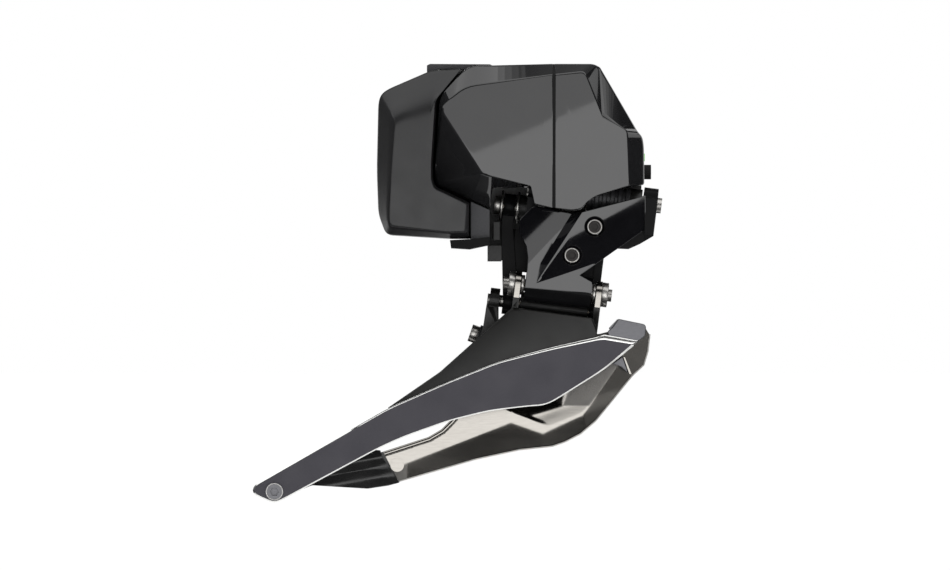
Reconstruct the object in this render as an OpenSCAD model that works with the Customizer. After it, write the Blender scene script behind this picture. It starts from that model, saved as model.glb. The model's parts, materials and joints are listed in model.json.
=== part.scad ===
// Battery-powered front derailleur, drawn in millimetres.
// +X points to the front of the bicycle, +Z up, and -Y away from the frame, towards the drive side.
// The origin is the mouth of the threaded hole in the braze-on mount pad.

/* [Mount] */
// Wall radius of the threaded hole for the mounting bolt
thread_r = 2.1; // [1.7:0.1:2.5]
// Depth of the threaded hole
thread_len = 10; // [8:0.5:11]
// Radius of the curved face of the mount pad
pad_crown_r = 16; // [13:0.5:20]
// Width and height of the mount pad
pad_w = 14; // [12:0.5:16]

/* [Housing] */
// Distance from the mount face to the back edge of the shells
housing_back = 4.5; // [4:0.1:5]
// Distance from the mount face to the front of the housing
housing_front = 34.5; // [34.2:0.1:36]
// Depth of the bevels round the front face
housing_bevel = 8; // [6:0.5:9]
// Wall of the shells
shell_wall = 1.5; // [1.2:0.1:1.7]
// Thickness of the base plate
base_plate_t = 2; // [1.6:0.1:2.2]
// Place of the seal between the shells along X
seam_x = -4.2; // [-4.6:0.1:-3.8]
// Width of the seal between the shells
seal_w = 0.85; // [0.6:0.05:1.1]

/* [Battery] */
// Distance from the mount face to the back of the battery
battery_back = 3; // [2:0.1:3.6]
// Distance from the mount face to the front of the battery
battery_front = 35; // [34.5:0.1:36]
// Depth of the bevels round the battery's front face
battery_bevel = 6; // [4:0.5:7]
// Wall of the battery case
battery_wall = 1.5; // [1.2:0.1:1.7]
// Width of each cell
cell_w = 9; // [7:0.5:9.5]
// Height of each cell
cell_h = 26.5; // [22:0.5:27]
// Depth of each cell
cell_d = 13; // [10:0.5:13.2]

/* [Latch] */
// Width of the latch lever
latch_w = 10; // [8:0.5:11]
// Radius of the latch pin
latch_pin_r = 0.8; // [0.6:0.1:0.9]

/* [Linkage] */
// Tilt of the pivot axes, front end down, in degrees
link_tilt = 7; // [6.5:0.1:7.5]
// Length of both links between their pivots
link_len = 24.8; // [24.6:0.1:25.4]
// Distance of the outer pivots behind the front of the housing
pivot_inset = 10.5; // [10.2:0.1:10.7]
// Height of the upper outer pivot in the tilted frame
outer_pivot_z = -6.3; // [-6.5:0.1:-6.2]
// Distance of the inner pivots behind the outer ones
pivot_gap = 12; // [11.8:0.1:12.3]
// Drop of the inner pivots below the outer ones
pivot_drop = 4.9; // [4.7:0.1:5.1]
// Radius of the pivot pins
pin_r = 1.6; // [1.4:0.05:1.7]
// Wall of the bushes that run on the pins
bush_wall = 0.7; // [0.5:0.05:0.8]
// Radius of the eyes of the inner link
eye_r = 3.3; // [3.1:0.05:3.4]
// Radius of the lower hub of the outer link
hub_r = 4; // [3.6:0.1:4.2]
// Radial clearance of a running fit
running = 0.05; // [0.03:0.01:0.08]
// Side gap between pieces that move past each other
side_gap = 0.3; // [0.25:0.05:0.35]

/* [Limit screws] */
// Thread radius of the limit screws
limit_r = 2; // [1.6:0.1:2.1]
// Length of the limit screws
limit_len = 11; // [9:0.5:12]
// Width across the flats of the small hex sockets
hex_af = 2; // [1.5:0.1:2.2]

/* [Drive] */
// Tooth module of the gear train
gear_module = 0.4; // [0.38:0.01:0.42]
// Radius of the output shaft
shaft_r = 2; // [1.8:0.05:2.1]
// Radius of the gear axles
axle_r = 1; // [0.8:0.05:1.1]
// Radius of the motor can
motor_r = 6; // [5.5:0.1:6.2]
// Length of the motor can
motor_len = 17.5; // [14:0.5:18.5]
// Radius of the motor's rotor
rotor_r = 3; // [2.5:0.1:4.5]

/* [Cage] */
// Free width between the cage plates
chain_gap = 11.8; // [11.5:0.1:12.2]
// Thickness of the outer cage plate
outer_plate_t = 1.5; // [1.3:0.1:1.8]
// Thickness of the inner cage plate
inner_plate_t = 1.4; // [1.2:0.1:1.6]
// Thickness of the carrier's front arm
carrier_arm_t = 2.5; // [2:0.1:3]
// Head radius of the tail screw
tail_head_r = 2.33; // [2:0.05:2.5]

/* [Controls] */
// Radius of the status button
button_r = 1.9; // [1.5:0.1:2.2]
// How far the button stands out of the wall
button_out = 1.9; // [1.5:0.1:2.4]

/* [Hidden] */
$fn = 48;

// Colours
gloss_black = [0.06, 0.06, 0.065];
satin_black = [0.13, 0.13, 0.135];
matte_black = [0.09, 0.09, 0.088];
anodised = [0.29, 0.285, 0.3];
nickel = [0.72, 0.71, 0.69];
steel = [0.66, 0.66, 0.68];
grey_metal = [0.5, 0.5, 0.51];
bronze = [0.65, 0.5, 0.3];
gold = [0.85, 0.68, 0.3];
board_green = [0.08, 0.3, 0.16];
led_green = [0.3, 0.85, 0.3];
cell_blue = [0.2, 0.3, 0.45];

// Room past a face that a cut must leave
cut = 1;

// Depths: everything lies in front of the mount face, at negative Y
y_shell_back = -housing_back;
y_shell_front = -housing_front;
y_shell_bevel = y_shell_front + housing_bevel;
y_base_back = y_shell_back + base_plate_t;
y_battery_back = -battery_back;
y_battery_front = -battery_front;
y_battery_bevel = y_battery_front + battery_bevel;

// Pivots as [y, z] in the tilted frame: b and a on the base, c and d on the cage
b_y = y_shell_front + pivot_inset;
b_z = outer_pivot_z;
c_z = b_z - link_len;
a_y = b_y + pivot_gap;
a_z = b_z - pivot_drop;
d_z = c_z - pivot_drop;

// Pivot centres in the plane of the photograph, [x, z]
b_point = [b_z * sin(link_tilt), b_z * cos(link_tilt)];
c_point = [c_z * sin(link_tilt), c_z * cos(link_tilt)];

// Bores
pin_run_r = pin_r + running;
bush_r = pin_run_r + bush_wall;
shaft_run_r = shaft_r + running;
shaft_bush_r = shaft_run_r + 1;

// Stretches along the pivot axes, [from, to]
base_bearing_left = [-6.1, -3.1];
base_bearing_right = [16.5, 19.5];
link_boss_right = [19.9, 23.6];
link_lug_left = [-10, -7];
shaft_span = [-10.4, 24.8];
sleeve_span = [5.3, base_bearing_right[0]];
base_lug_left = [-11.95, -7.5];
base_lug_right = [6, 9.2];
inner_eye_top_left = [-15.9, -12.9];
inner_eye_low_left = [-13.1, -9];
inner_eye_right = [base_lug_right[1] + side_gap + 0.1, 11.7];
hub_span = [-7.8, 9.5];
ear_left = [-10.6, -9];
ear_right = [10.6, 12.2];
barrel_span = [inner_eye_low_left[1] + side_gap + 0.1, inner_eye_right[0] - side_gap - 0.1];
outer_ear = [-16.6, -14.1];
washer_head_side = [-16.75, -16.2];
washer_lug_side = [-12.6, base_lug_left[0]];
pin_washer_r = 4;
pin_head_r = 2.4;
thrust_washer_r = 2.6;

// Draws in the frame whose X runs along the pivot axes
module tilted() rotate([0, link_tilt, 0]) children();

// Round bar along X from a to b
module bar_x(span, y, z, r) {
    translate([span[0], y, z]) rotate([0, 90, 0]) cylinder(r = r, h = span[1] - span[0]);
}

// Round bar along Y
module bar_y(x, z, y0, y1, r) {
    translate([x, y0, z]) rotate([-90, 0, 0]) cylinder(r = r, h = y1 - y0);
}

// Ring along X
module ring_x(span, y, z, r_in, r_out) {
    difference() {
        bar_x(span, y, z, r_out);
        bar_x([span[0] - cut, span[1] + cut], y, z, r_in);
    }
}

// Outline of [x, z] points, drawn out along Y
module slab(points, y0, y1) {
    translate([0, y1, 0]) rotate([90, 0, 0]) linear_extrude(height = y1 - y0) polygon(points);
}

// Outline of [y, z] points, drawn out along X
module sheet(points, span) {
    translate([span[0], 0, 0]) rotate([90, 0, 90]) linear_extrude(height = span[1] - span[0]) polygon(points);
}

// Box from one corner to the other
module box(low, high) translate(low) cube(high - low);

// Hexagonal socket cut along Y, open at y0
module hex_socket(x, z, y0, depth) {
    translate([x, y0 - cut, z]) rotate([-90, 0, 0])
        cylinder(r = hex_af / 2 / cos(30), h = depth + cut, $fn = 6);
}

// Outline with every edge moved in by d; points run counter-clockwise seen from the front
function edge_dir(p, i) = let (q = p[(i + 1) % len(p)] - p[i]) q / norm(q);
function crossing(p, u, q, v) = p + u * (cross(q - p, v) / cross(u, v));
function inset(p, d) = [
    for (i = [0:len(p) - 1])
        let (
            j = (i + len(p) - 1) % len(p),
            u = edge_dir(p, j),
            v = edge_dir(p, i)
        )
        crossing(p[j] + d * [-u[1], u[0]], u, p[i] + d * [-v[1], v[0]], v)
];
function moved(p, by) = [for (q = p) q + by];

// Triangles that fill an outline, cut off one ear at a time; order lists the points that are left
function within(a, b, c, q) = cross(b - a, q - a) >= 0 && cross(c - b, q - b) >= 0 && cross(a - c, q - c) >= 0;
function is_ear(p, order, i) =
    let (
        n = len(order),
        a = order[(i + n - 1) % n],
        b = order[i],
        c = order[(i + 1) % n],
        others = [for (k = order) if (k != a && k != b && k != c && within(p[a], p[b], p[c], p[k])) k]
    )
    cross(p[b] - p[a], p[c] - p[b]) > 0 && len(others) == 0;
function ears(p, order) =
    let (n = len(order), e = [for (i = [0:n - 1]) if (is_ear(p, order, i)) i][0])
    n == 3 ? [order] : concat(
        [[order[(e + n - 1) % n], order[e], order[(e + 1) % n]]],
        ears(p, [for (i = [0:n - 1]) if (i != e) order[i]])
    );

// Solid through outlines of equal count at rising depths, sections = [[y, points], ...]
module loft(sections) {
    n = len(sections[0][1]);
    last = len(sections) - 1;
    front_cap = ears(sections[0][1], [for (i = [0:n - 1]) i]);
    back_cap = ears(sections[last][1], [for (i = [0:n - 1]) i]);
    polyhedron(
        points = [for (s = sections) for (p = s[1]) [p[0], s[0], p[1]]],
        faces = concat(
            [for (t = front_cap) [t[2], t[1], t[0]]],
            [for (k = [0:last - 1]) for (i = [0:n - 1])
                let (j = (i + 1) % n) each [
                    [k * n + i, k * n + j, (k + 1) * n + j],
                    [k * n + i, (k + 1) * n + j, (k + 1) * n + i]
                ]],
            [for (t = back_cap) [for (i = t) last * n + i]]
        )
    );
}

// Outlines, [x, z] in the mount's frame unless said otherwise
rear_seam = seam_x - seal_w / 2;
front_seam = seam_x + seal_w / 2;
seam_bottom = -10;
seam_top = 27.7;
seam_face_top = 24.8;

rear_outline = [
    [rear_seam, seam_bottom], [rear_seam, seam_top], [-26.8, 27], [-33.8, 19], [-35.1, 1.7], [-35.1, -2.3],
    [-34.5, -3.9], [-20.8, -10.05], [-20.1, -4.7], [-9.3, -4.4], [-9.3, -9.1]
];
rear_face = [
    [rear_seam, seam_bottom + 0.1], [rear_seam, seam_face_top], [-27.5, 21.6], [-32.9, 16.8], [-33.6, 15.6],
    [-23.3, -0.6], [-22.9, -1], [-20.7, -1.6], [-20, -1.8], [-10.2, -4.25], [-9.2, -8.9]
];
front_outline = [
    [front_seam, seam_bottom], [0.3, -10.6], [3, -10.2], [4.3, -8.6], [6.6, -6.9], [15.4, -4.3], [19.4, -3.8],
    [19.3, 6.2], [18.9, 8.7], [17.7, 10], [7.9, 26.75], [6.2, 27.7], [front_seam, seam_top]
];
front_face = [
    [front_seam, seam_bottom + 0.1], [0.3, -10.5], [2.9, -10.1], [4.2, -8.5], [6.5, -6.8], [14.8, -4.3],
    [15.4, -4.2], [15.1, 4], [14.9, 8.4], [14.75, 10.3], [8.3, 14.2], [3.7, 25.7], [front_seam, seam_face_top]
];
battery_outline = [
    [-26.3, -17.4], [-26.2, -8.4], [-32.3, -5.5], [-34.9, -4.4], [-35.6, -2.4], [-35.6, 1.7], [-34.3, 19.1],
    [-28.2, 26], [-36.05, 25.4], [-48.3, 20.6], [-49.8, 18.3], [-50.2, 0], [-49.8, -11.5], [-47.8, -16.8],
    [-31.4, -17.8]
];
battery_face = [
    [-26.7, -16.3], [-26.6, -9], [-32.5, -6.1], [-35.2, -4.9], [-36, -2.5], [-36, 1.7], [-35, 17.6],
    [-34.7, 18.3], [-36.2, 17.8], [-45.3, 14.3], [-45.9, 12.8], [-46.7, 0], [-47.3, -11.5], [-47.2, -14.7],
    [-31.4, -16.4]
];
base_outline = [
    [-17.75, -15], [11, -16], [19, -11.5], [19, 6], [17.4, 9.8], [7.7, 26.3], [6.1, 27.3], [-26.6, 26.6],
    [-33.4, 18.8], [-34.7, 1.7], [-34.7, -2.2], [-34.2, -3.6], [-25.6, -7.7], [-25.6, -18], [-31, -18.3],
    [-30.8, -20.2], [-26.1, -20.5], [-21.4, -19.6], [-21.4, -23.7], [-17.75, -23.7]
];
sled_outline = [
    [-25.7, -17.9], [-31.2, -18.2], [-30.9, -20.3], [-26.1, -20.6], [-20.9, -19.5], [-20.9, -17.4]
];
contact_outline = [[-25.7, -17.9], [-20.9, -17.4], [-20.9, -10.4], [-25.7, -8.25]];

// Outer link: the upper points hang from pivot b and the lower ones from pivot c
link_outline = concat(
    moved([[9.4, -1.8], [9.5, 1.7], [6.1, 3.6]], c_point),
    moved([[20.3, -8.9], [20.2, -0.6], [4, -4.8], [1.1, -5.2], [-8.7, -3.2], [-12.2, -6.8],
        [-12.2, -10], [-10.4, -13.5]], b_point),
    moved([[-7, 8.2], [-7.2, 5.2], [-7.8, 0.5]], c_point)
);
link_rib = moved([[16, -14.3], [18.9, -13], [22.5, -10.9], [22.6, -5], [19.9, -5.3], [9, -14]], b_point);

// Cage outlines, [x, z] from pivot c
arm_outline = [
    [-43.5, -30.9], [-42, -33.6], [-30, -29.6], [-24, -27], [-14.9, -24], [-1.4, -19.3], [10.8, -15.5],
    [10.8, -11], [9.5, -7.6], [-11.2, -4.8], [-30, -21.6]
];
deck_outline = [[-13, -10.5], [10.8, -11.2], [9.5, -7.6], [-11.2, -4.8]];
carrier_screw_slope = 19;
bracket_corner = [-18.7, -9.5];
bracket_outline = [
    [bracket_corner[0] - 5.1 * tan(carrier_screw_slope), bracket_corner[1] - 5.1], [-10.2, -18.1], [-2.2, -17], [5.8, -15], [5.8, -9], [-8.6, -8], [-14.7, -8.5], [-14.7, -3],
    [-16.8, -2.6], [-17.9, -4.3], bracket_corner
];
outer_plate_outline = [
    [-78, -50.8], [-78.8, -52.4], [-78, -53.6], [-74.5, -55.2], [-72.9, -55.6], [-71.3, -55.1], [-45.6, -41.3],
    [-39.1, -38.4], [-27.2, -34.2], [-17, -31.7], [-6.6, -30.5], [-3.2, -30.3], [-0.6, -29.3], [12.4, -21.2],
    [20.5, -14.7], [21.6, -13.5], [12.7, -11.9], [11, -12.5], [-1.4, -15.3], [-14.9, -19], [-28.1, -24.3],
    [-43.5, -31]
];
inner_plate_outline = [
    [-44.2, -42.3], [-44.8, -43.9], [-40.2, -50.4], [-20.7, -44.7], [-9.1, -42.2], [-0.6, -41.3], [2.8, -40.1],
    [6.8, -38], [10.8, -34.6], [20.3, -22.9], [23.4, -20], [24.5, -16.4], [25, -11.9], [23.5, -10], [14.8, -11],
    [11.5, -11.8], [-12.2, -12.2], [-16.7, -19], [-23.2, -29], [-27.2, -34.2], [-29.7, -36.7], [-33.1, -38.7]
];
nose_flange_outline = [
    [13.5, -11.1], [14.5, -15.5], [19.5, -15], [22.8, -12.7], [23.4, -12.2], [23.6, -9.9], [23.2, -9.2],
    [16.4, -7.8], [14.8, -10.1]
];
nose_roof_outline = [
    [14.8, -11.1], [16.9, -9.4], [23.5, -10.8], [23.6, -9.9], [23.2, -9.2], [16.4, -7.8], [13.9, -10.4]
];
skid_outline = [
    [-45.6, -42.2], [-54, -41.4], [-66, -46], [-77.6, -51.2], [-78.2, -52.3], [-77.6, -53.3], [-74.5, -54.8],
    [-72.5, -55], [-63.4, -51.3], [-48.8, -52.2], [-43.5, -51.4], [-40.6, -50.6], [-45.1, -44.1]
];
skid_bridge_outline = [
    [-66, -46], [-77.6, -51.2], [-78.2, -52.3], [-77.6, -53.3], [-74.5, -54.8], [-72.5, -55], [-66, -52.2]
];
skid_tongue_outline = [[-47, -43], [-46, -50.5], [-41, -49.8], [-36.5, -47.5], [-38.5, -42], [-44, -42.4]];

// Depths on the cage, from pivot c
outer_plate_back = -3.8;
outer_plate_front = outer_plate_back - outer_plate_t;
inner_plate_front = outer_plate_back + chain_gap;
inner_plate_back = inner_plate_front + inner_plate_t;
bracket_depth = 5.8;
carrier_back = inner_plate_back + bracket_depth;

// Draws in the cage's frame, whose origin lies on pivot c
module on_cage() translate([c_point[0], b_y, c_point[1]]) children();

// Room that the links, their pins and the base's lugs need under the housing
module link_room() {
    tilted() {
        bar_x([-11.2, 21.5], b_y, b_z, 5);
        box([-11.2, y_shell_front + shell_wall, b_z - 20], [21.5, b_y + 5, b_z]);
        bar_x([inner_eye_top_left[0] - side_gap, inner_eye_right[1] + 1], a_y, a_z, eye_r + 0.4);
        box([base_lug_left[0] - side_gap, a_y, a_z - eye_r], [base_lug_right[1] + side_gap, y_shell_back + cut, a_z + eye_r]);
    }
}

// Housing screws, [x, z], and the shells' bosses round them
rear_screws = [[-30.5, 13], [-20, 23.7], [-24, -4.9]];
front_screws = [[3, 24.3], [15.8, 5.5]];
boss_r = 2.4;
boss_len = 7.5;
screw_r = 1.2;
screw_head_r = 2;
screw_head_h = 1.2;
screw_len = 7;
screw_gap = 0.1;
board_posts = [[-25, 19.3], [-11, 19.5]];
board_gap = 3.8;
board_t = 1.2;
board_y = [y_shell_front + board_gap, y_shell_front + board_gap + board_t];
board_post_r = 1.4;
board_screw_r = 0.6;
board_screw_bite = 4;
board_screw_head = [1.1, 0.6];

// Latch and its seat in the rear shell
latch_x = -21;
latch_z = 26.4;
latch_y = (y_battery_front + y_battery_back) / 2;
latch_end_r = 1.2;
latch_gap = 0.4;
latch_ear = 1.5;
latch_profile = [
    [latch_x, latch_z - 0.05], [latch_x, latch_z + 1.2], [-36.4, 27.7], [-37.2, 27.3], [-37.2, 25.5], [-36.4, 24.7],
    [-35.9, 24.7], [-34.3, latch_z - 0.05]
];
latch_pocket = [[-37.9, 26.8], [-37.9, 24.3], [-35.7, 24.3], [-33.4, 26.8]];
latch_seat = [[-18.3, 23], [-18.3, 27], [-26.6, 26.8], [-29.9, 23]];
latch_recess = [[-19.3, 24.7], [-19.3, 28.5], [-33, 28.5], [-33, 24.7]];

// Teeth of the output sector (as if it were a full gear), each small gear, each large gear and the motor pinion
sector_teeth = 48;
pinion_teeth = 12;
wheel_teeth = 36;
motor_teeth = 10;

// Gear outlines, [y, z]: an involute tooth in a few chords, thinned for backlash
pressure_angle = 25;
backlash = 0.09;
function involute(a) = tan(a) * 180 / PI - a;
function pitch_r(teeth) = teeth * gear_module / 2;
function half_tooth(teeth, r) =
    let (
        rp = pitch_r(teeth),
        rb = rp * cos(pressure_angle),
        a = r > rb ? acos(rb / r) : 0
    )
    90 / teeth - backlash / 2 / rp * 180 / PI + involute(pressure_angle) - involute(a);
function tooth_radii(teeth) =
    let (rp = pitch_r(teeth))
    [rp - 1.25 * gear_module, rp * cos(pressure_angle) + 0.02, rp, rp + 0.5 * gear_module, rp + 0.95 * gear_module];
function polar(r, a) = [r * cos(a), r * sin(a)];
function gear_points(teeth, phase) = [
    for (k = [0:teeth - 1])
        let (mid = phase + k * 360 / teeth, radii = tooth_radii(teeth))
        each concat(
            [for (i = [0:4]) polar(radii[i], mid - half_tooth(teeth, radii[i]))],
            [for (i = [4:-1:0]) polar(radii[i], mid + half_tooth(teeth, radii[i]))]
        )
];

// Gear centres, [y, z] in the tilted frame; a tooth of each wheel points at its pinion
// The motor lies as far back as its can and some room in front of the base plate allow
second_angle = 60;
motor_room = 1.65;
motor_reach = pitch_r(wheel_teeth) + pitch_r(motor_teeth);
second_at = [b_y, b_z + pitch_r(sector_teeth) + pitch_r(pinion_teeth)];
first_at = second_at + polar(pitch_r(wheel_teeth) + pitch_r(pinion_teeth), second_angle);
first_angle = -acos((y_shell_back - motor_r - motor_room - first_at[0]) / motor_reach);
motor_at = first_at + polar(motor_reach, first_angle);
sector_phase = 90;
sector_half = 34;
second_span = [-2.8, -0.8];
first_span = [-5.6, -3.6];
output_span = [0, 3];
hub_gap_r = pitch_r(pinion_teeth) - 1.3 * gear_module;
motor_plate_span = [-7.4, -6.2];
gearbox_plate_span = [3.8, 5];
axle_span = [motor_plate_span[0], gearbox_plate_span[1]];
motor_shaft_r = 0.75;
motor_wall = 0.8;
rotor_gap = 0.5;
motor_span = [motor_plate_span[0] - motor_len, motor_plate_span[0]];
plate_drop = 4.7;
plate_edge = second_at[1] - plate_drop;
plate_reach = 6.5;
plate_foot = [5.9, 19.5];

// Toothed wheel on an axis along X
module gear_x(teeth, phase, at, span) translate([0, at[0], at[1]]) sheet(gear_points(teeth, phase), span);

module base_frame() {
    lug_r = eye_r + 0.1;
    bearing_r = 3.6;
    color(satin_black) difference() {
        union() {
            slab(base_outline, y_shell_back, y_base_back);
            intersection() {
                translate([0, 0.25 - pad_crown_r, -pad_w / 2]) cylinder(r = pad_crown_r, h = pad_w, $fn = 96);
                box([-pad_w / 2, y_shell_back, -pad_w / 2], [pad_w / 2, 1, pad_w / 2]);
            }
            bar_y(0, 0, -thread_len - 1.2, y_shell_back + 0.5, thread_r + 2);
            tilted() for (span = [base_bearing_left, base_bearing_right]) {
                bar_x(span, b_y, b_z, bearing_r);
                box([span[0], b_y, b_z - 2.2], [span[1], y_base_back - 0.2, b_z + 2.2]);
            }
            tilted() for (span = [base_lug_left, base_lug_right]) {
                bar_x(span, a_y, a_z, lug_r);
                box([span[0], a_y, a_z - 2.8], [span[1], y_base_back - 0.2, a_z + 2.8]);
            }
            for (p = board_posts) bar_y(p[0], p[1], board_y[1], y_shell_back + 0.5, board_post_r);
            box([-19.8, -20, -18.1], [-18.25, y_base_back - 0.2, -13.5]);
            box([-21.4, -14, -23.7], [-17.75, y_base_back - 0.2, -19.6]);
        }
        bar_y(0, 0, 0, 2, thread_r + 1.1);
        bar_y(0, 0, -thread_len, cut, thread_r);
        tilted() {
            bar_x([base_bearing_left[0] - cut, base_bearing_left[1] + cut], b_y, b_z, shaft_bush_r);
            bar_x([base_bearing_right[0] - cut, base_bearing_right[1] + cut], b_y, b_z, shaft_bush_r);
            bar_x([base_lug_left[0] - cut, base_lug_right[1] + cut], a_y, a_z, pin_r);
        }
        for (p = concat(rear_screws, front_screws))
            bar_y(p[0], p[1], y_shell_back - cut, 0, screw_r + screw_gap);
        for (p = board_posts) bar_y(p[0], p[1], board_y[1] - cut, board_y[1] + board_screw_bite, board_screw_r);
        for (p = sled_screw_places) bar_y(p[0], p[1], y_shell_back - cut, 0, sled_screw_r + screw_gap);
    }
}
sled_screw_places = [[-28.3, -19.3], [-23.3, -18.8]];
sled_inset = 5;
sled_screw_r = 0.5;
sled_head_r = 0.9;

// Hollow shell between an outline and a smaller front face, open at the back
module shell(outline, face) {
    difference() {
        loft([[y_shell_front, face], [y_shell_bevel, outline], [y_shell_back, outline]]);
        loft([
            [y_shell_front + shell_wall, inset(face, shell_wall)], [y_shell_bevel, inset(outline, shell_wall)],
            [y_shell_back + cut, inset(outline, shell_wall)]
        ]);
    }
}

module screw_bosses(places) {
    for (p = places) difference() {
        bar_y(p[0], p[1], y_shell_back - boss_len, y_shell_back, boss_r);
        bar_y(p[0], p[1], y_shell_back - boss_len - cut, y_shell_back + cut, screw_r);
    }
}

module housing_rear_shell() {
    seat_y = latch_w / 2 + latch_gap + latch_ear;
    recess_y = latch_w / 2 + latch_gap;
    color(gloss_black) difference() {
        union() {
            difference() {
                shell(rear_outline, rear_face);
                box([rear_seam - shell_wall - 0.5, y_shell_front + shell_wall, -20],
                    [rear_seam + cut, y_shell_back + cut, seam_face_top - shell_wall]);
            }
            slab(latch_seat, latch_y - seat_y, latch_y + seat_y);
            screw_bosses(rear_screws);
        }
        slab(latch_recess, latch_y - recess_y, latch_y + recess_y);
        bar_y(latch_x, latch_z, latch_y - seat_y - cut, latch_y + seat_y + cut, latch_pin_r);
        link_room();
    }
}

module housing_front_shell() {
    color(gloss_black) difference() {
        union() {
            difference() {
                shell(front_outline, front_face);
                box([front_seam - cut, y_shell_front + shell_wall, -20],
                    [front_seam + shell_wall + 0.5, y_shell_back + cut, seam_face_top - shell_wall]);
            }
            screw_bosses(front_screws);
        }
        link_room();
        bar_x([button_wall - 3, button_wall + 3], button_at[0], button_at[1], button_r + running);
        bar_x([button_inner - 2, button_inner + side_gap], button_at[0], button_at[1], button_flange_r + side_gap);
        box(led_low, led_high);
    }
}
button_wall = 19.35;
button_at = [y_shell_front + 16.5, -0.4];
button_flange_r = 2.4;
button_inner = button_wall - shell_wall - side_gap - 0.2;
button_flange_t = 0.6;
switch_t = 2.5;
switch_half = [2.5, 2.3];
switch_leg = 1;
led_low = [17, button_at[0] - 2, 2.4];
led_high = [19.6, button_at[0] + 2, 4.4];

// Frame of the seam's section, [y, z], with the shells' wall as its width
seal_section = [
    [y_shell_back, seam_bottom + 0.1], [y_shell_back, seam_top - 0.1], [y_shell_bevel, seam_top - 0.1],
    [y_shell_front + 0.1, seam_face_top - 0.1], [y_shell_front + 0.1, seam_bottom + 0.2]
];
seal_hole = [
    [y_shell_back + cut, seam_bottom + shell_wall], [y_shell_back + cut, seam_top - shell_wall],
    [y_shell_bevel + 0.4, seam_top - shell_wall], [y_shell_front + shell_wall, seam_face_top - shell_wall],
    [y_shell_front + shell_wall, seam_bottom + shell_wall]
];

module housing_seal() {
    span = [rear_seam, front_seam];
    color(matte_black) difference() {
        sheet(seal_section, span);
        sheet(seal_hole, [span[0] - cut, span[1] + cut]);
        link_room();
        box([span[0] - cut, b_y, seam_bottom - cut], [span[1] + cut, y_shell_back + cut, seam_bottom + shell_wall]);
    }
}

// Screw along Y, driven from behind: head at y, shank running to the front
module back_screw(p, y, shank_r, length, head_r, head_h) {
    difference() {
        union() {
            bar_y(p[0], p[1], y, y + head_h, head_r);
            bar_y(p[0], p[1], y - length, y + cut / 2, shank_r);
        }
        translate([0, 2 * y + 2 * head_h, 0]) mirror([0, 1, 0]) hex_socket(p[0], p[1], y + head_h, head_h * 0.6);
    }
}

module housing_screws() {
    color(steel) for (p = concat(rear_screws, front_screws))
        back_screw(p, y_base_back, screw_r, screw_len, screw_head_r, screw_head_h);
}

module battery_sled() {
    color(satin_black) difference() {
        slab(sled_outline, y_battery_front + sled_inset, y_shell_back);
        for (p = sled_screw_places) bar_y(p[0], p[1], y_base_back - screw_len, 0, sled_screw_r);
    }
}

module sled_screws() {
    color(steel) for (p = sled_screw_places) {
        bar_y(p[0], p[1], y_base_back - screw_len, y_base_back + 0.1, sled_screw_r);
        bar_y(p[0], p[1], y_base_back, y_base_back + 0.7, sled_head_r);
    }
}

// Spring contacts: two pins that stand a little out of the block's left face
contact_heights = [-11.5, -14.5];
contact_y = -14;
contact_face = -25.7;
contact_inset = 7.5;
contact_r = 0.6;

module contact_block() {
    color(grey_metal) difference() {
        slab(contact_outline, y_shell_front + contact_inset, y_shell_back);
        for (z = contact_heights) bar_x([contact_face - cut, contact_face + 2], contact_y, z, contact_r);
    }
}

module contact_pins() {
    color(gold) for (z = contact_heights) bar_x([contact_face - side_gap, contact_face + 2], contact_y, z, contact_r);
}

board_low = [-27, 2.5];
board_high = [-9, 21];

module circuit_board() {
    chips = [[-24, 6, 5, 5], [-16, 7, 4, 3], [-20, 13, 6, 3], [-13, 14, 3, 3]];
    color(board_green) difference() {
        union() {
            box([board_low[0], board_y[0], board_low[1]], [board_high[0], board_y[1], board_high[1]]);
            for (c = chips) box([c[0], board_y[1] - 0.2, c[1]], [c[0] + c[2], board_y[1] + 1, c[1] + c[3]]);
        }
        for (p = board_posts) bar_y(p[0], p[1], board_y[0] - cut, board_y[1] + cut, board_screw_r);
    }
}

module board_screws() {
    color(steel) for (p = board_posts) {
        bar_y(p[0], p[1], board_y[0] - board_screw_head[1], board_y[0], board_screw_head[0]);
        bar_y(p[0], p[1], board_y[0] - 0.1, board_y[1] + board_screw_bite, board_screw_r);
    }
}

module motor_can() {
    inner = [motor_span[0] + motor_wall, motor_span[1] - motor_wall];
    color(grey_metal) tilted() difference() {
        bar_x(motor_span, motor_at[0], motor_at[1], motor_r);
        bar_x(inner, motor_at[0], motor_at[1], motor_r - motor_wall);
        bar_x([motor_span[0] - cut, motor_span[1] + cut], motor_at[0], motor_at[1], motor_shaft_r + running);
    }
}

// Bearing plate of the gear train, seated on the base plate
module gear_plate(span) {
    plate_points = [
        [b_y - plate_reach, plate_edge], [b_y + plate_reach - 0.5, plate_edge],
        [a_y, plate_foot[0]], [y_shell_back, plate_foot[0]], [y_shell_back, plate_foot[1]],
        [a_y - 2, plate_foot[1] + 2], [b_y, plate_foot[1] - 0.5], [b_y - plate_reach, plate_foot[0] + 4.1]
    ];
    difference() {
        sheet(plate_points, span);
        for (at = [first_at, second_at]) bar_x([span[0] - cut, span[1] + cut], at[0], at[1], axle_r);
        bar_x([span[0] - cut, span[1] + cut], motor_at[0], motor_at[1], pitch_r(motor_teeth) + 1);
    }
}

module motor_plate() color(grey_metal) tilted() gear_plate(motor_plate_span);

module gearbox_plate() color(grey_metal) tilted() gear_plate(gearbox_plate_span);

module gear_axles() color(steel) tilted() for (at = [first_at, second_at]) bar_x(axle_span, at[0], at[1], axle_r);

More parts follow.
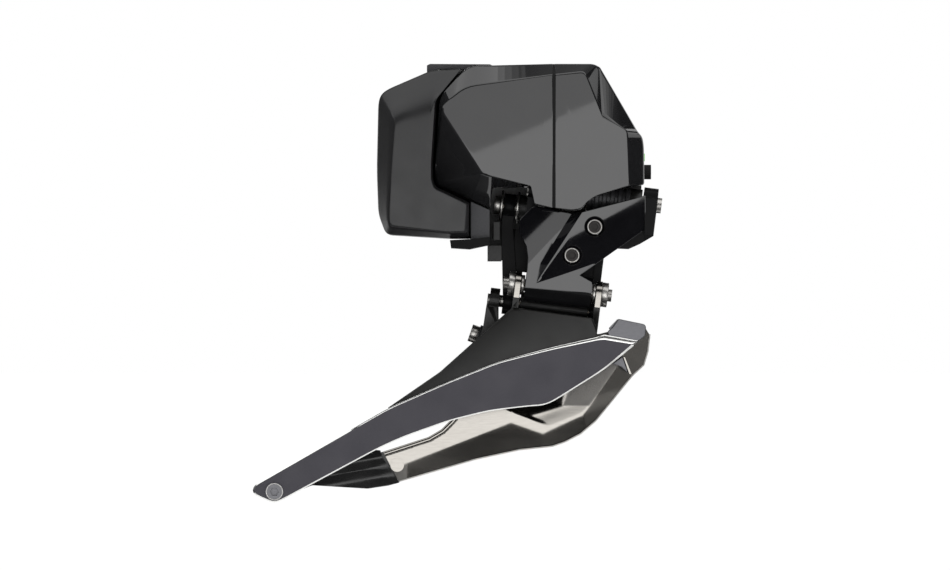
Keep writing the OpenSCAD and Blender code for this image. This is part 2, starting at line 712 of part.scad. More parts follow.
module motor_rotor() {
    drum = [motor_span[0] + motor_wall + rotor_gap, motor_span[1] - motor_wall - rotor_gap];
    color(steel) tilted() {
        bar_x([motor_span[0] - 0.5, first_span[1] + 0.3], motor_at[0], motor_at[1], motor_shaft_r);
        bar_x(drum, motor_at[0], motor_at[1], rotor_r);
        gear_x(motor_teeth, first_angle + 180 + 180 / motor_teeth, motor_at, first_span);
    }
}

// Wheel and pinion in one piece, running on an axle
module compound_gear(at, wheel_phase, wheel_span, pinion_phase, pinion_span) {
    difference() {
        union() {
            gear_x(wheel_teeth, wheel_phase, at, wheel_span);
            bar_x([wheel_span[1] - 0.1, pinion_span[0] + 0.1], at[0], at[1], hub_gap_r);
            gear_x(pinion_teeth, pinion_phase, at, pinion_span);
        }
        bar_x([wheel_span[0] - cut, pinion_span[1] + cut], at[0], at[1], axle_r + running);
    }
}

module first_gear() {
    pinion_phase = second_angle + 180 + 180 / pinion_teeth;
    color(bronze) tilted() compound_gear(first_at, first_angle, first_span, pinion_phase, second_span);
}

module second_gear() {
    pinion_phase = sector_phase + 180 + 180 / pinion_teeth;
    color(bronze) tilted() compound_gear(second_at, second_angle, second_span, pinion_phase, output_span);
}

module output_sector() {
    reach = pitch_r(sector_teeth) * 1.4;
    wedge = [[0, 0], polar(reach, 90 - sector_half), polar(reach, 90), polar(reach, 90 + sector_half)];
    color(bronze) tilted() difference() {
        union() {
            intersection() {
                gear_x(sector_teeth, sector_phase, [b_y, b_z], output_span);
                translate([0, b_y, b_z]) sheet(wedge, output_span);
            }
            bar_x(output_span, b_y, b_z, shaft_r + 1.4);
        }
        bar_x([output_span[0] - cut, output_span[1] + cut], b_y, b_z, shaft_r);
    }
}

module output_shaft() color(steel) tilted() bar_x(shaft_span, b_y, b_z, shaft_r);

module shaft_bushes() {
    color(bronze) tilted() for (span = [base_bearing_left, base_bearing_right])
        ring_x(span, b_y, b_z, shaft_run_r, shaft_bush_r);
}

module shaft_sleeve() {
    root_r = 3.1;
    rib_r = 3.65;
    rib_w = 1.1;
    rib_pitch = 2;
    color(matte_black) tilted() difference() {
        union() {
            bar_x(sleeve_span, b_y, b_z, root_r);
            for (x = [sleeve_span[0]:rib_pitch:sleeve_span[1] - rib_w]) bar_x([x, x + rib_w], b_y, b_z, rib_r);
        }
        bar_x([sleeve_span[0] - cut, sleeve_span[1] + cut], b_y, b_z, shaft_run_r);
    }
}

module led_lens() color(led_green) box(led_low, led_high);

module status_button() {
    color(matte_black) {
        bar_x([button_inner - 0.1, button_wall + button_out], button_at[0], button_at[1], button_r);
        bar_x([button_inner - button_flange_t, button_inner], button_at[0], button_at[1], button_flange_r);
    }
}

module button_switch() {
    face = button_inner - button_flange_t - 1;
    color(satin_black) {
        box([face - switch_t, button_at[0] - switch_half[0], button_at[1] - switch_half[1]],
            [face, button_at[0] + switch_half[0], button_at[1] + switch_half[1]]);
        box([face - switch_t, button_at[0], button_at[1] - switch_half[1]],
            [face - switch_t + switch_leg, y_shell_back, button_at[1] + switch_half[1]]);
    }
}

module latch() {
    color(satin_black) difference() {
        union() {
            slab(latch_profile, latch_y - latch_w / 2, latch_y + latch_w / 2);
            bar_y(latch_x, latch_z, latch_y - latch_w / 2, latch_y + latch_w / 2, latch_end_r);
        }
        bar_y(latch_x, latch_z, latch_y - latch_w, latch_y + latch_w, latch_pin_r + running);
    }
}

module latch_pin() {
    reach = latch_w / 2 + latch_gap + latch_ear - 0.1;
    color(steel) bar_y(latch_x, latch_z, latch_y - reach, latch_y + reach, latch_pin_r);
}

// Battery: contact pads set into its right wall
pad_face = -26.4;
pad_depth = 1.35;
pad_half = 1;

module battery_pads() {
    for (z = contact_heights)
        box([pad_face - pad_depth, contact_y - pad_half, z - pad_half], [pad_face, contact_y + pad_half, z + pad_half]);
}

module battery_case() {
    inner = inset(battery_outline, battery_wall);
    pocket_y = latch_w / 2 + latch_gap;
    color(satin_black) difference() {
        loft([[y_battery_front, battery_face], [y_battery_bevel, battery_outline], [y_battery_back, battery_outline]]);
        loft([
            [y_battery_front + battery_wall, inset(battery_face, battery_wall)], [y_battery_bevel, inner],
            [y_battery_back + cut, inner]
        ]);
        slab(latch_pocket, latch_y - pocket_y, latch_y + pocket_y);
        translate([cut / 2, 0, 0]) battery_pads();
        battery_pads();
    }
}

module battery_cover() {
    color(satin_black)
        slab(inset(battery_outline, battery_wall), y_battery_back - battery_wall, y_battery_back);
}

module battery_cells() {
    right = -37.5;
    bottom = -13.5;
    back = y_battery_back - battery_wall;
    color(cell_blue) for (k = [0, 1])
        box([right - cell_w, back - (k + 1) * cell_d, bottom], [right, back - k * cell_d - 0.1 * k, bottom + cell_h]);
}

module battery_contacts() color(gold) battery_pads();

// Limit screws, [x, z] from pivot b, standing along Y in the outer link
limit_upper = b_point + [7.2, -8.5];
limit_lower = b_point + [1.3, -15.9];
limit_reach = 5.7;
limit_front = b_y - limit_reach;
limit_boss_r = limit_r + 1.2;
limit_grip = 4;
limit_bore_back = b_y + limit_grip;
limit_counterbore_r = limit_r + 0.7;

// Outer link: front plate, boss and lug on the output shaft, hub on the lower pin
link_reach = 7;
link_seat = 4.1;
link_front = b_y - link_reach;
link_back = b_y - link_seat;
link_bevel = 1.1;

module outer_link() {
    boss_r = 4.3;
    lug_r = 3.6;
    color(gloss_black) difference() {
        union() {
            loft([
                [link_front, inset(link_outline, link_bevel)], [link_front + link_bevel, link_outline],
                [link_back, link_outline]
            ]);
            slab(link_rib, link_back - 0.2, link_back + 3);
            tilted() {
                bar_x(link_boss_right, b_y, b_z, boss_r);
                sheet([[b_y, b_z + boss_r], [link_front + 0.5, b_z + 1.5], [link_front + 0.5, b_z - 8],
                    [b_y - 2, b_z - 8], [b_y, b_z - boss_r]], link_boss_right);
                bar_x(link_lug_left, b_y, b_z, lug_r);
                sheet([[b_y, b_z + lug_r], [link_front + 1.2, b_z - 4.2], [link_front + 1.2, b_z - 10],
                    [b_y - 2, b_z - 8], [b_y, b_z - lug_r]], link_lug_left);
                bar_x(hub_span, b_y, c_z, hub_r);
                sheet([[b_y, c_z + hub_r], [link_back - 0.3, c_z + 11], [link_front + 1.2, c_z + 9],
                    [link_front + 1.2, c_z + 1.5], [b_y - hub_r + 0.5, c_z - 1.2], [b_y, c_z - 1]], [-6.5, 5]);
            }
            for (p = [limit_upper, limit_lower]) bar_y(p[0], p[1], link_front + 0.9, limit_bore_back, limit_boss_r);
        }
        tilted() {
            bar_x([link_lug_left[0] - cut, link_boss_right[1] + cut], b_y, b_z, shaft_r);
            bar_x([link_lug_left[1] + 0.1, link_boss_right[0]], b_y, b_z, 4);
            bar_x([hub_span[0] - cut, hub_span[1] + cut], b_y, c_z, bush_r);
        }
        for (p = [limit_upper, limit_lower]) {
            bar_y(p[0], p[1], link_front - cut, limit_bore_back + cut, limit_r + running);
            bar_y(p[0], p[1], link_front - cut, limit_front + 0.4, limit_counterbore_r);
        }
    }
}

module limit_screw(p) {
    color(steel) difference() {
        bar_y(p[0], p[1], limit_front, limit_front + limit_len, limit_r);
        hex_socket(p[0], p[1], limit_front, 2.2);
    }
}

module upper_limit_screw() limit_screw(limit_upper);

module lower_limit_screw() limit_screw(limit_lower);

bush_len = 4;

module link_bushes() {
    color(bronze) tilted() {
        ring_x([hub_span[0], hub_span[0] + bush_len], b_y, c_z, pin_run_r, bush_r);
        ring_x([hub_span[1] - bush_len, hub_span[1]], b_y, c_z, pin_run_r, bush_r);
    }
}

// Inner link: two arms with an eye at each end, tied by a cross web
arm_half = 2.2;
arm_straight = pin_washer_r + 1;
web_z = [-16.6, -5.6];

module inner_link() {
    top_left = inner_eye_top_left;
    low_left = inner_eye_low_left;
    color(satin_black) tilted() difference() {
        union() {
            bar_x(top_left, a_y, a_z, eye_r);
            bar_x(low_left, a_y, d_z, eye_r);
            bar_x(inner_eye_right, a_y, a_z, eye_r);
            bar_x(inner_eye_right, a_y, d_z, eye_r);
            slab([[low_left[0], d_z], [low_left[1], d_z], [top_left[1], a_z - arm_straight], [top_left[1], a_z],
                [top_left[0], a_z], [top_left[0], a_z - arm_straight]], a_y - arm_half, a_y + arm_half);
            slab([[inner_eye_right[0], d_z], [inner_eye_right[1], d_z], [inner_eye_right[1], a_z],
                [inner_eye_right[0], a_z]], a_y - arm_half, a_y + arm_half);
            box([low_left[0] + 1, a_y - 1.5, a_z + web_z[0]], [inner_eye_right[1] - 1, a_y + 1.5, a_z + web_z[1]]);
        }
        bar_x([top_left[0] - cut, inner_eye_right[1] + cut], a_y, a_z, bush_r);
        bar_x([low_left[0] - cut, inner_eye_right[1] + cut], a_y, d_z, bush_r);
    }
}

module inner_link_bushes() {
    color(bronze) tilted() {
        ring_x(inner_eye_top_left, a_y, a_z, pin_run_r, bush_r);
        ring_x(inner_eye_right, a_y, a_z, pin_run_r, bush_r);
        ring_x(inner_eye_low_left, a_y, d_z, pin_run_r, bush_r);
        ring_x(inner_eye_right, a_y, d_z, pin_run_r, bush_r);
    }
}

module inner_upper_pin() {
    head = [washer_head_side[0] - 1.65, washer_head_side[0]];
    color(steel) tilted() difference() {
        union() {
            bar_x([head[0] + 0.5, inner_eye_right[1] + 0.5], a_y, a_z, pin_r);
            bar_x(head, a_y, a_z, pin_head_r);
        }
        translate([head[0] - cut, a_y, a_z]) rotate([0, 90, 0])
            cylinder(r = hex_af / 2 / cos(30), h = cut + 1.2, $fn = 6);
    }
}

module inner_pin_washers() {
    color(steel) tilted() for (span = [washer_head_side, washer_lug_side]) ring_x(span, a_y, a_z, pin_r, pin_washer_r);
}

// Cage carrier: ears on pivot c, barrel and outer ear on pivot d, front arm, deck and rear bracket
ear_r = 3.4;
barrel_r = 3.2;
flange_r = 3.2;
ear_bush_r = pin_r + bush_wall;

module cage_carrier() {
    clear_r = eye_r + 0.4;
    low_left = inner_eye_low_left;
    color(matte_black) difference() {
        union() {
            on_cage() {
                slab(arm_outline, outer_plate_back, outer_plate_back + carrier_arm_t);
                slab(deck_outline, outer_plate_back, carrier_back - 1);
                slab(bracket_outline, inner_plate_back, carrier_back);
            }
            tilted() {
                for (span = [ear_left, ear_right]) {
                    bar_x(span, b_y, c_z, ear_r);
                    box([span[0], b_y - ear_r, c_z - 10.5], [span[1], b_y + ear_r, c_z]);
                }
                bar_x(barrel_span, a_y, d_z, barrel_r);
                bar_x(outer_ear, a_y, d_z, barrel_r);
            }
        }
        tilted() {
            bar_x([ear_left[0] - 0.01, ear_left[1] + 0.01], b_y, c_z, ear_bush_r);
            bar_x([ear_right[0] - 0.01, ear_right[1] + 0.01], b_y, c_z, ear_bush_r);
            bar_x([low_left[0] - 0.7, low_left[1] + side_gap + 0.1], a_y, d_z, clear_r);
            bar_x([inner_eye_right[0] - side_gap - 0.1, inner_eye_right[1] + 3], a_y, d_z, clear_r);
            bar_x([outer_ear[0] - 3, inner_eye_right[1] + cut], a_y, d_z, pin_r);
        }
        on_cage() {
            for (p = plate_screw_places) bar_y(p[0], p[1], outer_plate_front, 0, plate_screw_r);
            for (p = rivet_places) bar_y(p[0], p[1], inner_plate_front, carrier_back + cut, rivet_r);
            carrier_screw_axis() cylinder(r = carrier_screw_r, h = carrier_screw_len);
        }
    }
}

module outer_lower_pin() {
    color(steel) tilted() bar_x([ear_left[0] - 3, ear_right[1] + 2.6], b_y, c_z, pin_r);
}

module carrier_bushes() {
    flange_t = 1.6;
    color(steel) tilted() {
        ring_x(ear_left, b_y, c_z, pin_r, ear_bush_r);
        ring_x([ear_left[0] - flange_t, ear_left[0]], b_y, c_z, pin_r, flange_r);
        ring_x(ear_right, b_y, c_z, pin_r, ear_bush_r);
        ring_x([ear_right[1], ear_right[1] + flange_t], b_y, c_z, pin_r, flange_r);
    }
}

module thrust_washers() {
    color(steel) tilted() {
        ring_x([ear_left[1], hub_span[0] - side_gap], b_y, c_z, pin_r, thrust_washer_r);
        ring_x([hub_span[1] + side_gap, ear_right[0]], b_y, c_z, pin_r, thrust_washer_r);
    }
}

module inner_lower_pin() {
    color(steel) tilted() bar_x([outer_ear[0] - 0.6, inner_eye_right[1] + 0.5], a_y, d_z, pin_r);
}

// Fixings of the cage, [x, z] from pivot c
plate_screw_places = [[-26, -25.8], [-8, -19.4], [6, -15.4]];
plate_screw_r = 1.1;
plate_screw_bite = 1;
rivet_places = [[-12, -15.4], [-4, -14.2], [3, -13.6]];
rivet_r = 1.2;
rivet_head_r = 1.8;
rivet_head_h = 0.6;
nose_rivet_at = [17.6, -13.6];
nose_flange_t = 1.35;
skid_rivet_at = [-41.2, -46];
tail_at = [-73, -52.7];
tail_screw_r = 1.5;
tail_screw_len = 9;
tail_head_h = 0.9;
skid_front = inner_plate_front - 0.6;
skid_back = inner_plate_back + 0.4;
skid_tongue_t = 1.4;
carrier_screw_r = 1.5;
carrier_screw_len = 6;
carrier_screw_drop = 2.8;
carrier_screw_at = bracket_corner - carrier_screw_drop * [tan(carrier_screw_slope), 1];
carrier_screw_y = inner_plate_back + bracket_depth / 2;
carrier_washer_t = 0.6;

// Frame of the carrier screw: Z runs from the bracket's edge into the bracket
module carrier_screw_axis() {
    translate([carrier_screw_at[0], carrier_screw_y, carrier_screw_at[1]])
        rotate([0, 90 + carrier_screw_slope, 0]) children();
}

module cage_outer_plate() {
    color(anodised) on_cage() difference() {
        slab(outer_plate_outline, outer_plate_front, outer_plate_back);
        for (p = plate_screw_places)
            bar_y(p[0], p[1], outer_plate_back - plate_screw_bite, outer_plate_back + cut, plate_screw_r);
        bar_y(tail_at[0], tail_at[1], outer_plate_front - cut, outer_plate_back + cut, tail_screw_r);
        bar_y(nose_rivet_at[0], nose_rivet_at[1], outer_plate_back - 1, outer_plate_back + cut, rivet_r);
    }
}

module cage_inner_plate() {
    nose_back = outer_plate_back + nose_flange_t;
    color(nickel) on_cage() difference() {
        union() {
            slab(inner_plate_outline, inner_plate_front, inner_plate_back);
            slab(nose_roof_outline, outer_plate_back, inner_plate_back);
            slab(nose_flange_outline, outer_plate_back, nose_back);
        }
        for (p = rivet_places) bar_y(p[0], p[1], inner_plate_front - cut, inner_plate_back + cut, rivet_r);
        bar_y(nose_rivet_at[0], nose_rivet_at[1], outer_plate_back - cut, nose_back + cut, rivet_r);
        bar_y(skid_rivet_at[0], skid_rivet_at[1], inner_plate_front - cut, inner_plate_back + cut, rivet_r);
    }
}

module cage_skid() {
    tongue_back = inner_plate_back + skid_tongue_t;
    color(matte_black) on_cage() difference() {
        union() {
            slab(skid_outline, skid_front, skid_back);
            slab(skid_bridge_outline, outer_plate_back, skid_back);
            slab(skid_tongue_outline, inner_plate_back, tongue_back);
        }
        bar_y(tail_at[0], tail_at[1], outer_plate_back - cut, outer_plate_front + tail_screw_len, tail_screw_r);
        bar_y(skid_rivet_at[0], skid_rivet_at[1], inner_plate_back - cut, tongue_back + cut, rivet_r);
    }
}

module tail_screw() {
    color(steel) on_cage() difference() {
        union() {
            bar_y(tail_at[0], tail_at[1], outer_plate_front - tail_head_h, outer_plate_front, tail_head_r);
            bar_y(tail_at[0], tail_at[1], outer_plate_front - 0.1, outer_plate_front + tail_screw_len, tail_screw_r);
        }
        hex_socket(tail_at[0], tail_at[1], outer_plate_front - tail_head_h, 1.4);
    }
}

module plate_screws() {
    back = outer_plate_back + carrier_arm_t;
    color(steel) on_cage() for (p = plate_screw_places) {
        bar_y(p[0], p[1], outer_plate_back - plate_screw_bite, back + 0.1, plate_screw_r);
        bar_y(p[0], p[1], back, back + 1, 1.9);
    }
}

// Rivet along Y with a head at each end
module rivet(p, y0, y1, head_front, head_back) {
    sunk = rivet_head_h / 2;
    bar_y(p[0], p[1], head_front ? y0 - sunk : y0, head_back ? y1 + sunk : y1, rivet_r);
    if (head_front) bar_y(p[0], p[1], y0 - rivet_head_h, y0, rivet_head_r);
    if (head_back) bar_y(p[0], p[1], y1, y1 + rivet_head_h, rivet_head_r);
}

module plate_rivets() {
    color(steel) on_cage() for (p = rivet_places) rivet(p, inner_plate_front, carrier_back, true, true);
}

module nose_rivet() {
    color(steel) on_cage() rivet(nose_rivet_at, outer_plate_back - 1, outer_plate_back + nose_flange_t, false, true);
}

module skid_rivet() {
    color(steel) on_cage()
        rivet(skid_rivet_at, inner_plate_front, inner_plate_back + skid_tongue_t, true, true);
}

module carrier_screw() {
    color(steel) on_cage() carrier_screw_axis() difference() {
        union() {
            translate([0, 0, -carrier_washer_t]) cylinder(r = carrier_screw_r, h = carrier_screw_len + carrier_washer_t);
            translate([0, 0, -carrier_washer_t - 2]) cylinder(r = 2.3, h = 2);
        }
        translate([0, 0, -carrier_washer_t - 2 - cut]) cylinder(r = hex_af / 2 / cos(30), h = cut + 1.3, $fn = 6);
    }
}

module carrier_washer() {
    color(grey_metal) on_cage() carrier_screw_axis() translate([0, 0, -carrier_washer_t]) difference() {
        cylinder(r = 2.8, h = carrier_washer_t);
        translate([0, 0, -cut]) cylinder(r = carrier_screw_r, h = carrier_washer_t + 2 * cut);
    }
}

base_frame();
housing_rear_shell();
housing_front_shell();
housing_seal();
housing_screws();
battery_sled();
sled_screws();
contact_block();
contact_pins();
circuit_board();
board_screws();
motor_can();
motor_plate();
gearbox_plate();
gear_axles();
motor_rotor();
first_gear();
second_gear();
output_sector();
output_shaft();
shaft_bushes();
shaft_sleeve();
led_lens();
status_button();
button_switch();
latch();
latch_pin();
battery_case();
battery_cover();
battery_cells();
battery_contacts();
outer_link();
upper_limit_screw();
lower_limit_screw();
link_bushes();
inner_link();
inner_link_bushes();
inner_upper_pin();
inner_pin_washers();
cage_carrier();
outer_lower_pin();
carrier_bushes();
thrust_washers();
inner_lower_pin();
cage_outer_plate();
cage_inner_plate();
cage_skid();
tail_screw();
plate_screws();
plate_rivets();
nose_rivet();
skid_rivet();
carrier_screw();
carrier_washer();
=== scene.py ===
# %% [markdown]
# A battery-powered front derailleur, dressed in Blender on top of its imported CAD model.
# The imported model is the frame: every CAD node already sits in its place, in metres, and moves with its body.
# This lesson keeps the nodes whose shape is right, gives each a finish, and makes new surfaces for the pieces
# whose curves the eye notices: the housing, the battery, the outer link, and the cage with its two plates,
# its carrier and its skid.

# %% Load the frame
import json
import math
import bpy
import bmesh
import numpy as np
from mathutils import Matrix, Vector

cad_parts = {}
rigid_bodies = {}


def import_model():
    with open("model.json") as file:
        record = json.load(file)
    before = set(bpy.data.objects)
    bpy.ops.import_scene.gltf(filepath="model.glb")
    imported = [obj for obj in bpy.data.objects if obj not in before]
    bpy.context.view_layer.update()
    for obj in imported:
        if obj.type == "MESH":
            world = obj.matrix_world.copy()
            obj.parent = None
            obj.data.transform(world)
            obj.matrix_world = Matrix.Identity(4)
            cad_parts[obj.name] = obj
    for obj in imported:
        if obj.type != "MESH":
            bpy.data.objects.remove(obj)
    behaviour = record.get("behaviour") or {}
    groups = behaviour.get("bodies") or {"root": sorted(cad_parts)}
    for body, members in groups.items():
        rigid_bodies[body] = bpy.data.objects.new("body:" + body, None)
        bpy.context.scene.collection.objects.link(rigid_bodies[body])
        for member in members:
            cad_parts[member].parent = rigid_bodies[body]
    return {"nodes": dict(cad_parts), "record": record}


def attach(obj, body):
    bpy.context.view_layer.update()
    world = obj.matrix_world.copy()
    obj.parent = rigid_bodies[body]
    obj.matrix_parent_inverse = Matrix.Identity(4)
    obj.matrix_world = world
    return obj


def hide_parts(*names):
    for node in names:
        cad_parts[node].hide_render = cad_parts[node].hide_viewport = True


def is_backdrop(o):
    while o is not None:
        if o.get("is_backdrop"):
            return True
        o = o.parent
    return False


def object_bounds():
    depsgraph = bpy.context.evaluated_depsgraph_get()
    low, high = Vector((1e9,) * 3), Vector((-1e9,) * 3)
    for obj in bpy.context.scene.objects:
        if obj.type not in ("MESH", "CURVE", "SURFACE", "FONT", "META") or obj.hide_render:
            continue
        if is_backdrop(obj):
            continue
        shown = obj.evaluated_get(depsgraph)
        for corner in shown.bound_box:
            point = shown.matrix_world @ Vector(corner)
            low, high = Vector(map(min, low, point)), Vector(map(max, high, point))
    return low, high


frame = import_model()
cad_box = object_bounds()
nodes = frame["nodes"]

# %% [markdown]
# The camera comes first. The photograph was taken square on to the drive side through a long lens, so lines
# that run away from us hardly converge. A camera two and a half metres away does the same.
# Its lens is worked out from the scale of the picture at the depth of the front faces.

# %% Camera
MM = 0.001
IMAGE = (950, 570)
PX_PER_MM = 3.85
MOUNT_PX = (570, 170)
FACE_Y = -30.0
CAMERA_FAR = 2500.0
SENSOR = 36.0


def photo_mm(px, py):
    """Place in the picture, in pixels, to X and Z in millimetres from the mount."""
    return (px - MOUNT_PX[0]) / PX_PER_MM, (MOUNT_PX[1] - py) / PX_PER_MM


lens = bpy.data.cameras.new("camera")
lens.sensor_width = SENSOR
lens.lens = PX_PER_MM * SENSOR * CAMERA_FAR / IMAGE[0]
lens.clip_start = 0.1
lens.clip_end = 50
camera = bpy.data.objects.new("camera", lens)
mid_x, mid_z = photo_mm(IMAGE[0] / 2, IMAGE[1] / 2)
camera.location = (mid_x * MM, (FACE_Y - CAMERA_FAR) * MM, mid_z * MM)
camera.rotation_euler = (math.pi / 2, 0, 0)
bpy.context.scene.collection.objects.link(camera)
bpy.context.scene.camera = camera
print("lens", round(lens.lens, 1), "mm")

# %% [markdown]
# Nodes for materials and for the world are added by one small function: it makes the node, sets what is
# given, and links a socket wherever another socket is given as the value.
# Colours are written as sRGB hex, as a paint chart would give them, and one function turns them to linear
# light.

# %% Two small helpers
def add(tree, kind, inputs=None, **settings):
    """A new node of that kind; inputs maps a socket's name or number to a value or to a socket to link."""
    made = tree.nodes.new(kind)
    for key, value in settings.items():
        setattr(made, key, value)
    for key, value in (inputs or {}).items():
        if isinstance(value, bpy.types.NodeSocket):
            tree.links.new(value, made.inputs[key])
        else:
            made.inputs[key].default_value = value
    return made


def linear(code):
    """sRGB hex to linear RGBA: each channel to the power that the sRGB curve gives."""
    c = np.array([int(code[i:i + 2], 16) for i in (1, 3, 5)]) / 255
    c = np.where(c <= 0.04045, c / 12.92, ((c + 0.055) / 1.055) ** 2.4)
    return (*c.tolist(), 1.0)


# %% [markdown]
# Gloss black shows only what it mirrors, so the light is built as a product studio builds it.
# A large soft panel stands low in front, a dimmer one above it, and their common edge slants across the axis:
# the slightly domed housing mirrors that edge. Black cards close the sides, so tilted facets go black.
# Narrow strips above, below and at the right draw the thin bright lines on edges. Where a grey should fade
# into black, on the left and on the ceiling, a row of strips does it, each dimmer than the one before.
# The other panels are dim: they lift the facets that look up or aside, and light the part from behind.

# %% Studio light
def panel(name, centre, size, radiance, turn):
    """Soft panel of a given radiance: its power is radiance times pi times its area."""
    lamp = bpy.data.lights.new(name, "AREA")
    lamp.shape = "RECTANGLE"
    lamp.size, lamp.size_y = size
    lamp.energy = radiance * math.pi * size[0] * size[1]
    made = bpy.data.objects.new(name, lamp)
    made.matrix_world = Matrix.Translation(centre) @ turn
    made.visible_camera = False
    bpy.context.scene.collection.objects.link(made)
    return made


facing_back = Matrix.Rotation(math.pi / 2, 4, "X")
facing_front = Matrix.Rotation(-math.pi / 2, 4, "X")
facing_right = Matrix.Rotation(-math.pi / 2, 4, "Y")
facing_left = Matrix.Rotation(math.pi / 2, 4, "Y")
facing_up = Matrix.Rotation(math.pi, 4, "X")
facing_down = Matrix.Identity(4)

EDGE = Vector((0.0, -1.03, 0.05))
LOW_PANEL = (1.2, 0.9)
HIGH_PANEL = (1.2, 0.7)
slanted = Matrix.Rotation(math.radians(-23), 4, "Y")
down = slanted.to_3x3() @ Vector((0, 0, -1))
panel("low_panel", EDGE + down * LOW_PANEL[1] / 2, LOW_PANEL, 1.75, slanted @ facing_back)
panel("high_panel", EDGE - down * HIGH_PANEL[1] / 2, HIGH_PANEL, 0.62, slanted @ facing_back)

STRIP = (0.76, 0.1)
CEILING = 0.25
panel("top_strip", Vector((-0.03, -0.04, CEILING)), STRIP, 1.8, facing_down)
panel("bottom_strip", Vector((-0.02, -0.04, -0.34)), STRIP, 1.5, facing_up)
panel("front_strip", Vector((-0.03, -0.19, CEILING)), (0.74, 0.2), 1.7, facing_down)
panel("rear_ceiling", Vector((-0.02, 0.26, 0.275)), (0.74, 0.3), 0.12, facing_down)
panel("rear_left", Vector((-0.405, 0.1, 0.11)), (0.34, 0.6), 0.17, facing_right)

LEFT_STEP, CEILING_STEP = 0.1, 0.025
for step, glow in enumerate((0.55, 0.42, 0.3, 0.2, 0.12, 0.06)):
    centre = Vector((-0.4, -0.95 + LEFT_STEP * step, -0.13))
    panel(f"left_falloff_{step}", centre, (0.44, LEFT_STEP), glow, facing_right)
for step, glow in enumerate((1.2, 0.75, 0.45, 0.25)):
    centre = Vector((-0.03, 0.0225 + CEILING_STEP * step, CEILING))
    panel(f"ceiling_falloff_{step}", centre, (0.74, CEILING_STEP), glow, facing_down)

panel("back_panel", Vector((-0.02, 0.44, 0.0)), (0.7, 0.5), 1.0, facing_front)
panel("front_right", Vector((0.365, -0.52, -0.06)), (0.54, 0.6), 0.21, facing_left)
panel("right_strip", Vector((0.364, -0.03, -0.19)), (0.3, 0.1), 1.5, facing_left)
panel("back_right", Vector((0.365, 0.32, -0.05)), (0.5, 0.22), 0.7, facing_left)
panel("back_left", Vector((-0.404, 0.36, -0.1)), (0.3, 0.16), 0.7, facing_right)
print("panels", len(bpy.data.lights))

# %% [markdown]
# The background is white to the camera, to mirrored rays and to rays through glass. As light on the part it
# is dim, so the panels do the work.

# %% Background
AMBIENT = 0.35
world = bpy.data.worlds.new("studio")
world.use_nodes = True
bpy.context.scene.world = world
tree = world.node_tree
tree.nodes.clear()
path = add(tree, "ShaderNodeLightPath")
seen = add(tree, "ShaderNodeMath", {0: path.outputs["Is Camera Ray"], 1: path.outputs["Is Glossy Ray"]},
           operation="MAXIMUM")
seen = add(tree, "ShaderNodeMath", {0: seen.outputs[0], 1: path.outputs["Is Transmission Ray"]},
           operation="MAXIMUM")
level = add(tree, "ShaderNodeMapRange", {"Value": seen.outputs[0], "To Min": AMBIENT, "To Max": 1.0})
sky = add(tree, "ShaderNodeBackground", {"Color": (1, 1, 1, 1), "Strength": level.outputs[0]})
add(tree, "ShaderNodeOutputWorld", {"Surface": sky.outputs[0]})
bpy.context.scene.view_settings.view_transform = "Standard"
print("ambient light", AMBIENT)

# %% [markdown]
# The floor is a plain pale sheet two centimetres under the part. The black cards are plain sheets too, seen
# by mirrored rays alone. Floor and cards are the stage, not the part. The panels leave the floor out and a
# wide sun lights nothing else, so it is as white as the background and still keeps the part's soft shadow.

# %% Floor and cards
FLOOR_GAP = 0.022
FLOOR = 6.0
FLOOR_SUN = 2.55
LEFT, RIGHT, LOW, HIGH = -0.41, 0.37, -0.37, 0.28
FRONT, BACK = -1.0, 0.45


def stage_sheet(name, corners, colour, rough):
    """One flat quad through four corners, with a plain material, marked as stage."""
    mesh = bpy.data.meshes.new(name)
    mesh.from_pydata(corners, [], [(0, 1, 2, 3)])
    made = bpy.data.objects.new(name, mesh)
    bpy.context.scene.collection.objects.link(made)
    paint = bpy.data.materials.new(name)
    paint.use_nodes = True
    bsdf = paint.node_tree.nodes["Principled BSDF"]
    bsdf.inputs["Base Color"].default_value = linear(colour)
    bsdf.inputs["Roughness"].default_value = rough
    bsdf.inputs["Specular IOR Level"].default_value = 0.0
    mesh.materials.append(paint)
    made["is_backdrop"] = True
    return made


floor_z = cad_box[0].z - FLOOR_GAP
square = [(x, y, floor_z) for x, y in ((-FLOOR, -FLOOR), (FLOOR, -FLOOR), (FLOOR, FLOOR), (-FLOOR, FLOOR))]
floor = stage_sheet("floor", square, "#f4f4f4", 0.8)
floor.visible_glossy = False
floor.visible_shadow = False
cards = {
    "card_left": [(LEFT, FRONT, LOW), (LEFT, BACK, LOW), (LEFT, BACK, HIGH), (LEFT, FRONT, HIGH)],
    "card_right": [(RIGHT, FRONT, LOW), (RIGHT, BACK, LOW), (RIGHT, BACK, HIGH), (RIGHT, FRONT, HIGH)],
    "card_top": [(LEFT, FRONT, HIGH), (RIGHT, FRONT, HIGH), (RIGHT, BACK, HIGH), (LEFT, BACK, HIGH)],
    "card_bottom": [(LEFT, FRONT, LOW), (RIGHT, FRONT, LOW), (RIGHT, BACK, LOW), (LEFT, BACK, LOW)],
    "card_back": [(LEFT, BACK, LOW), (RIGHT, BACK, LOW), (RIGHT, BACK, HIGH), (LEFT, BACK, HIGH)],
}
for name, corners in cards.items():
    card = stage_sheet(name, corners, "#050505", 1.0)
    card.visible_camera = False
    card.visible_diffuse = False
    card.visible_transmission = False
    card.visible_shadow = False
sun = bpy.data.lights.new("floor_sun", "SUN")
sun.energy = FLOOR_SUN
sun.angle = math.radians(120)
above = bpy.data.objects.new("floor_sun", sun)
above.rotation_euler = (math.radians(-15), 0, 0)
bpy.context.scene.collection.objects.link(above)
floor_only = bpy.data.collections.new("floor_only")
floor_only.objects.link(floor)
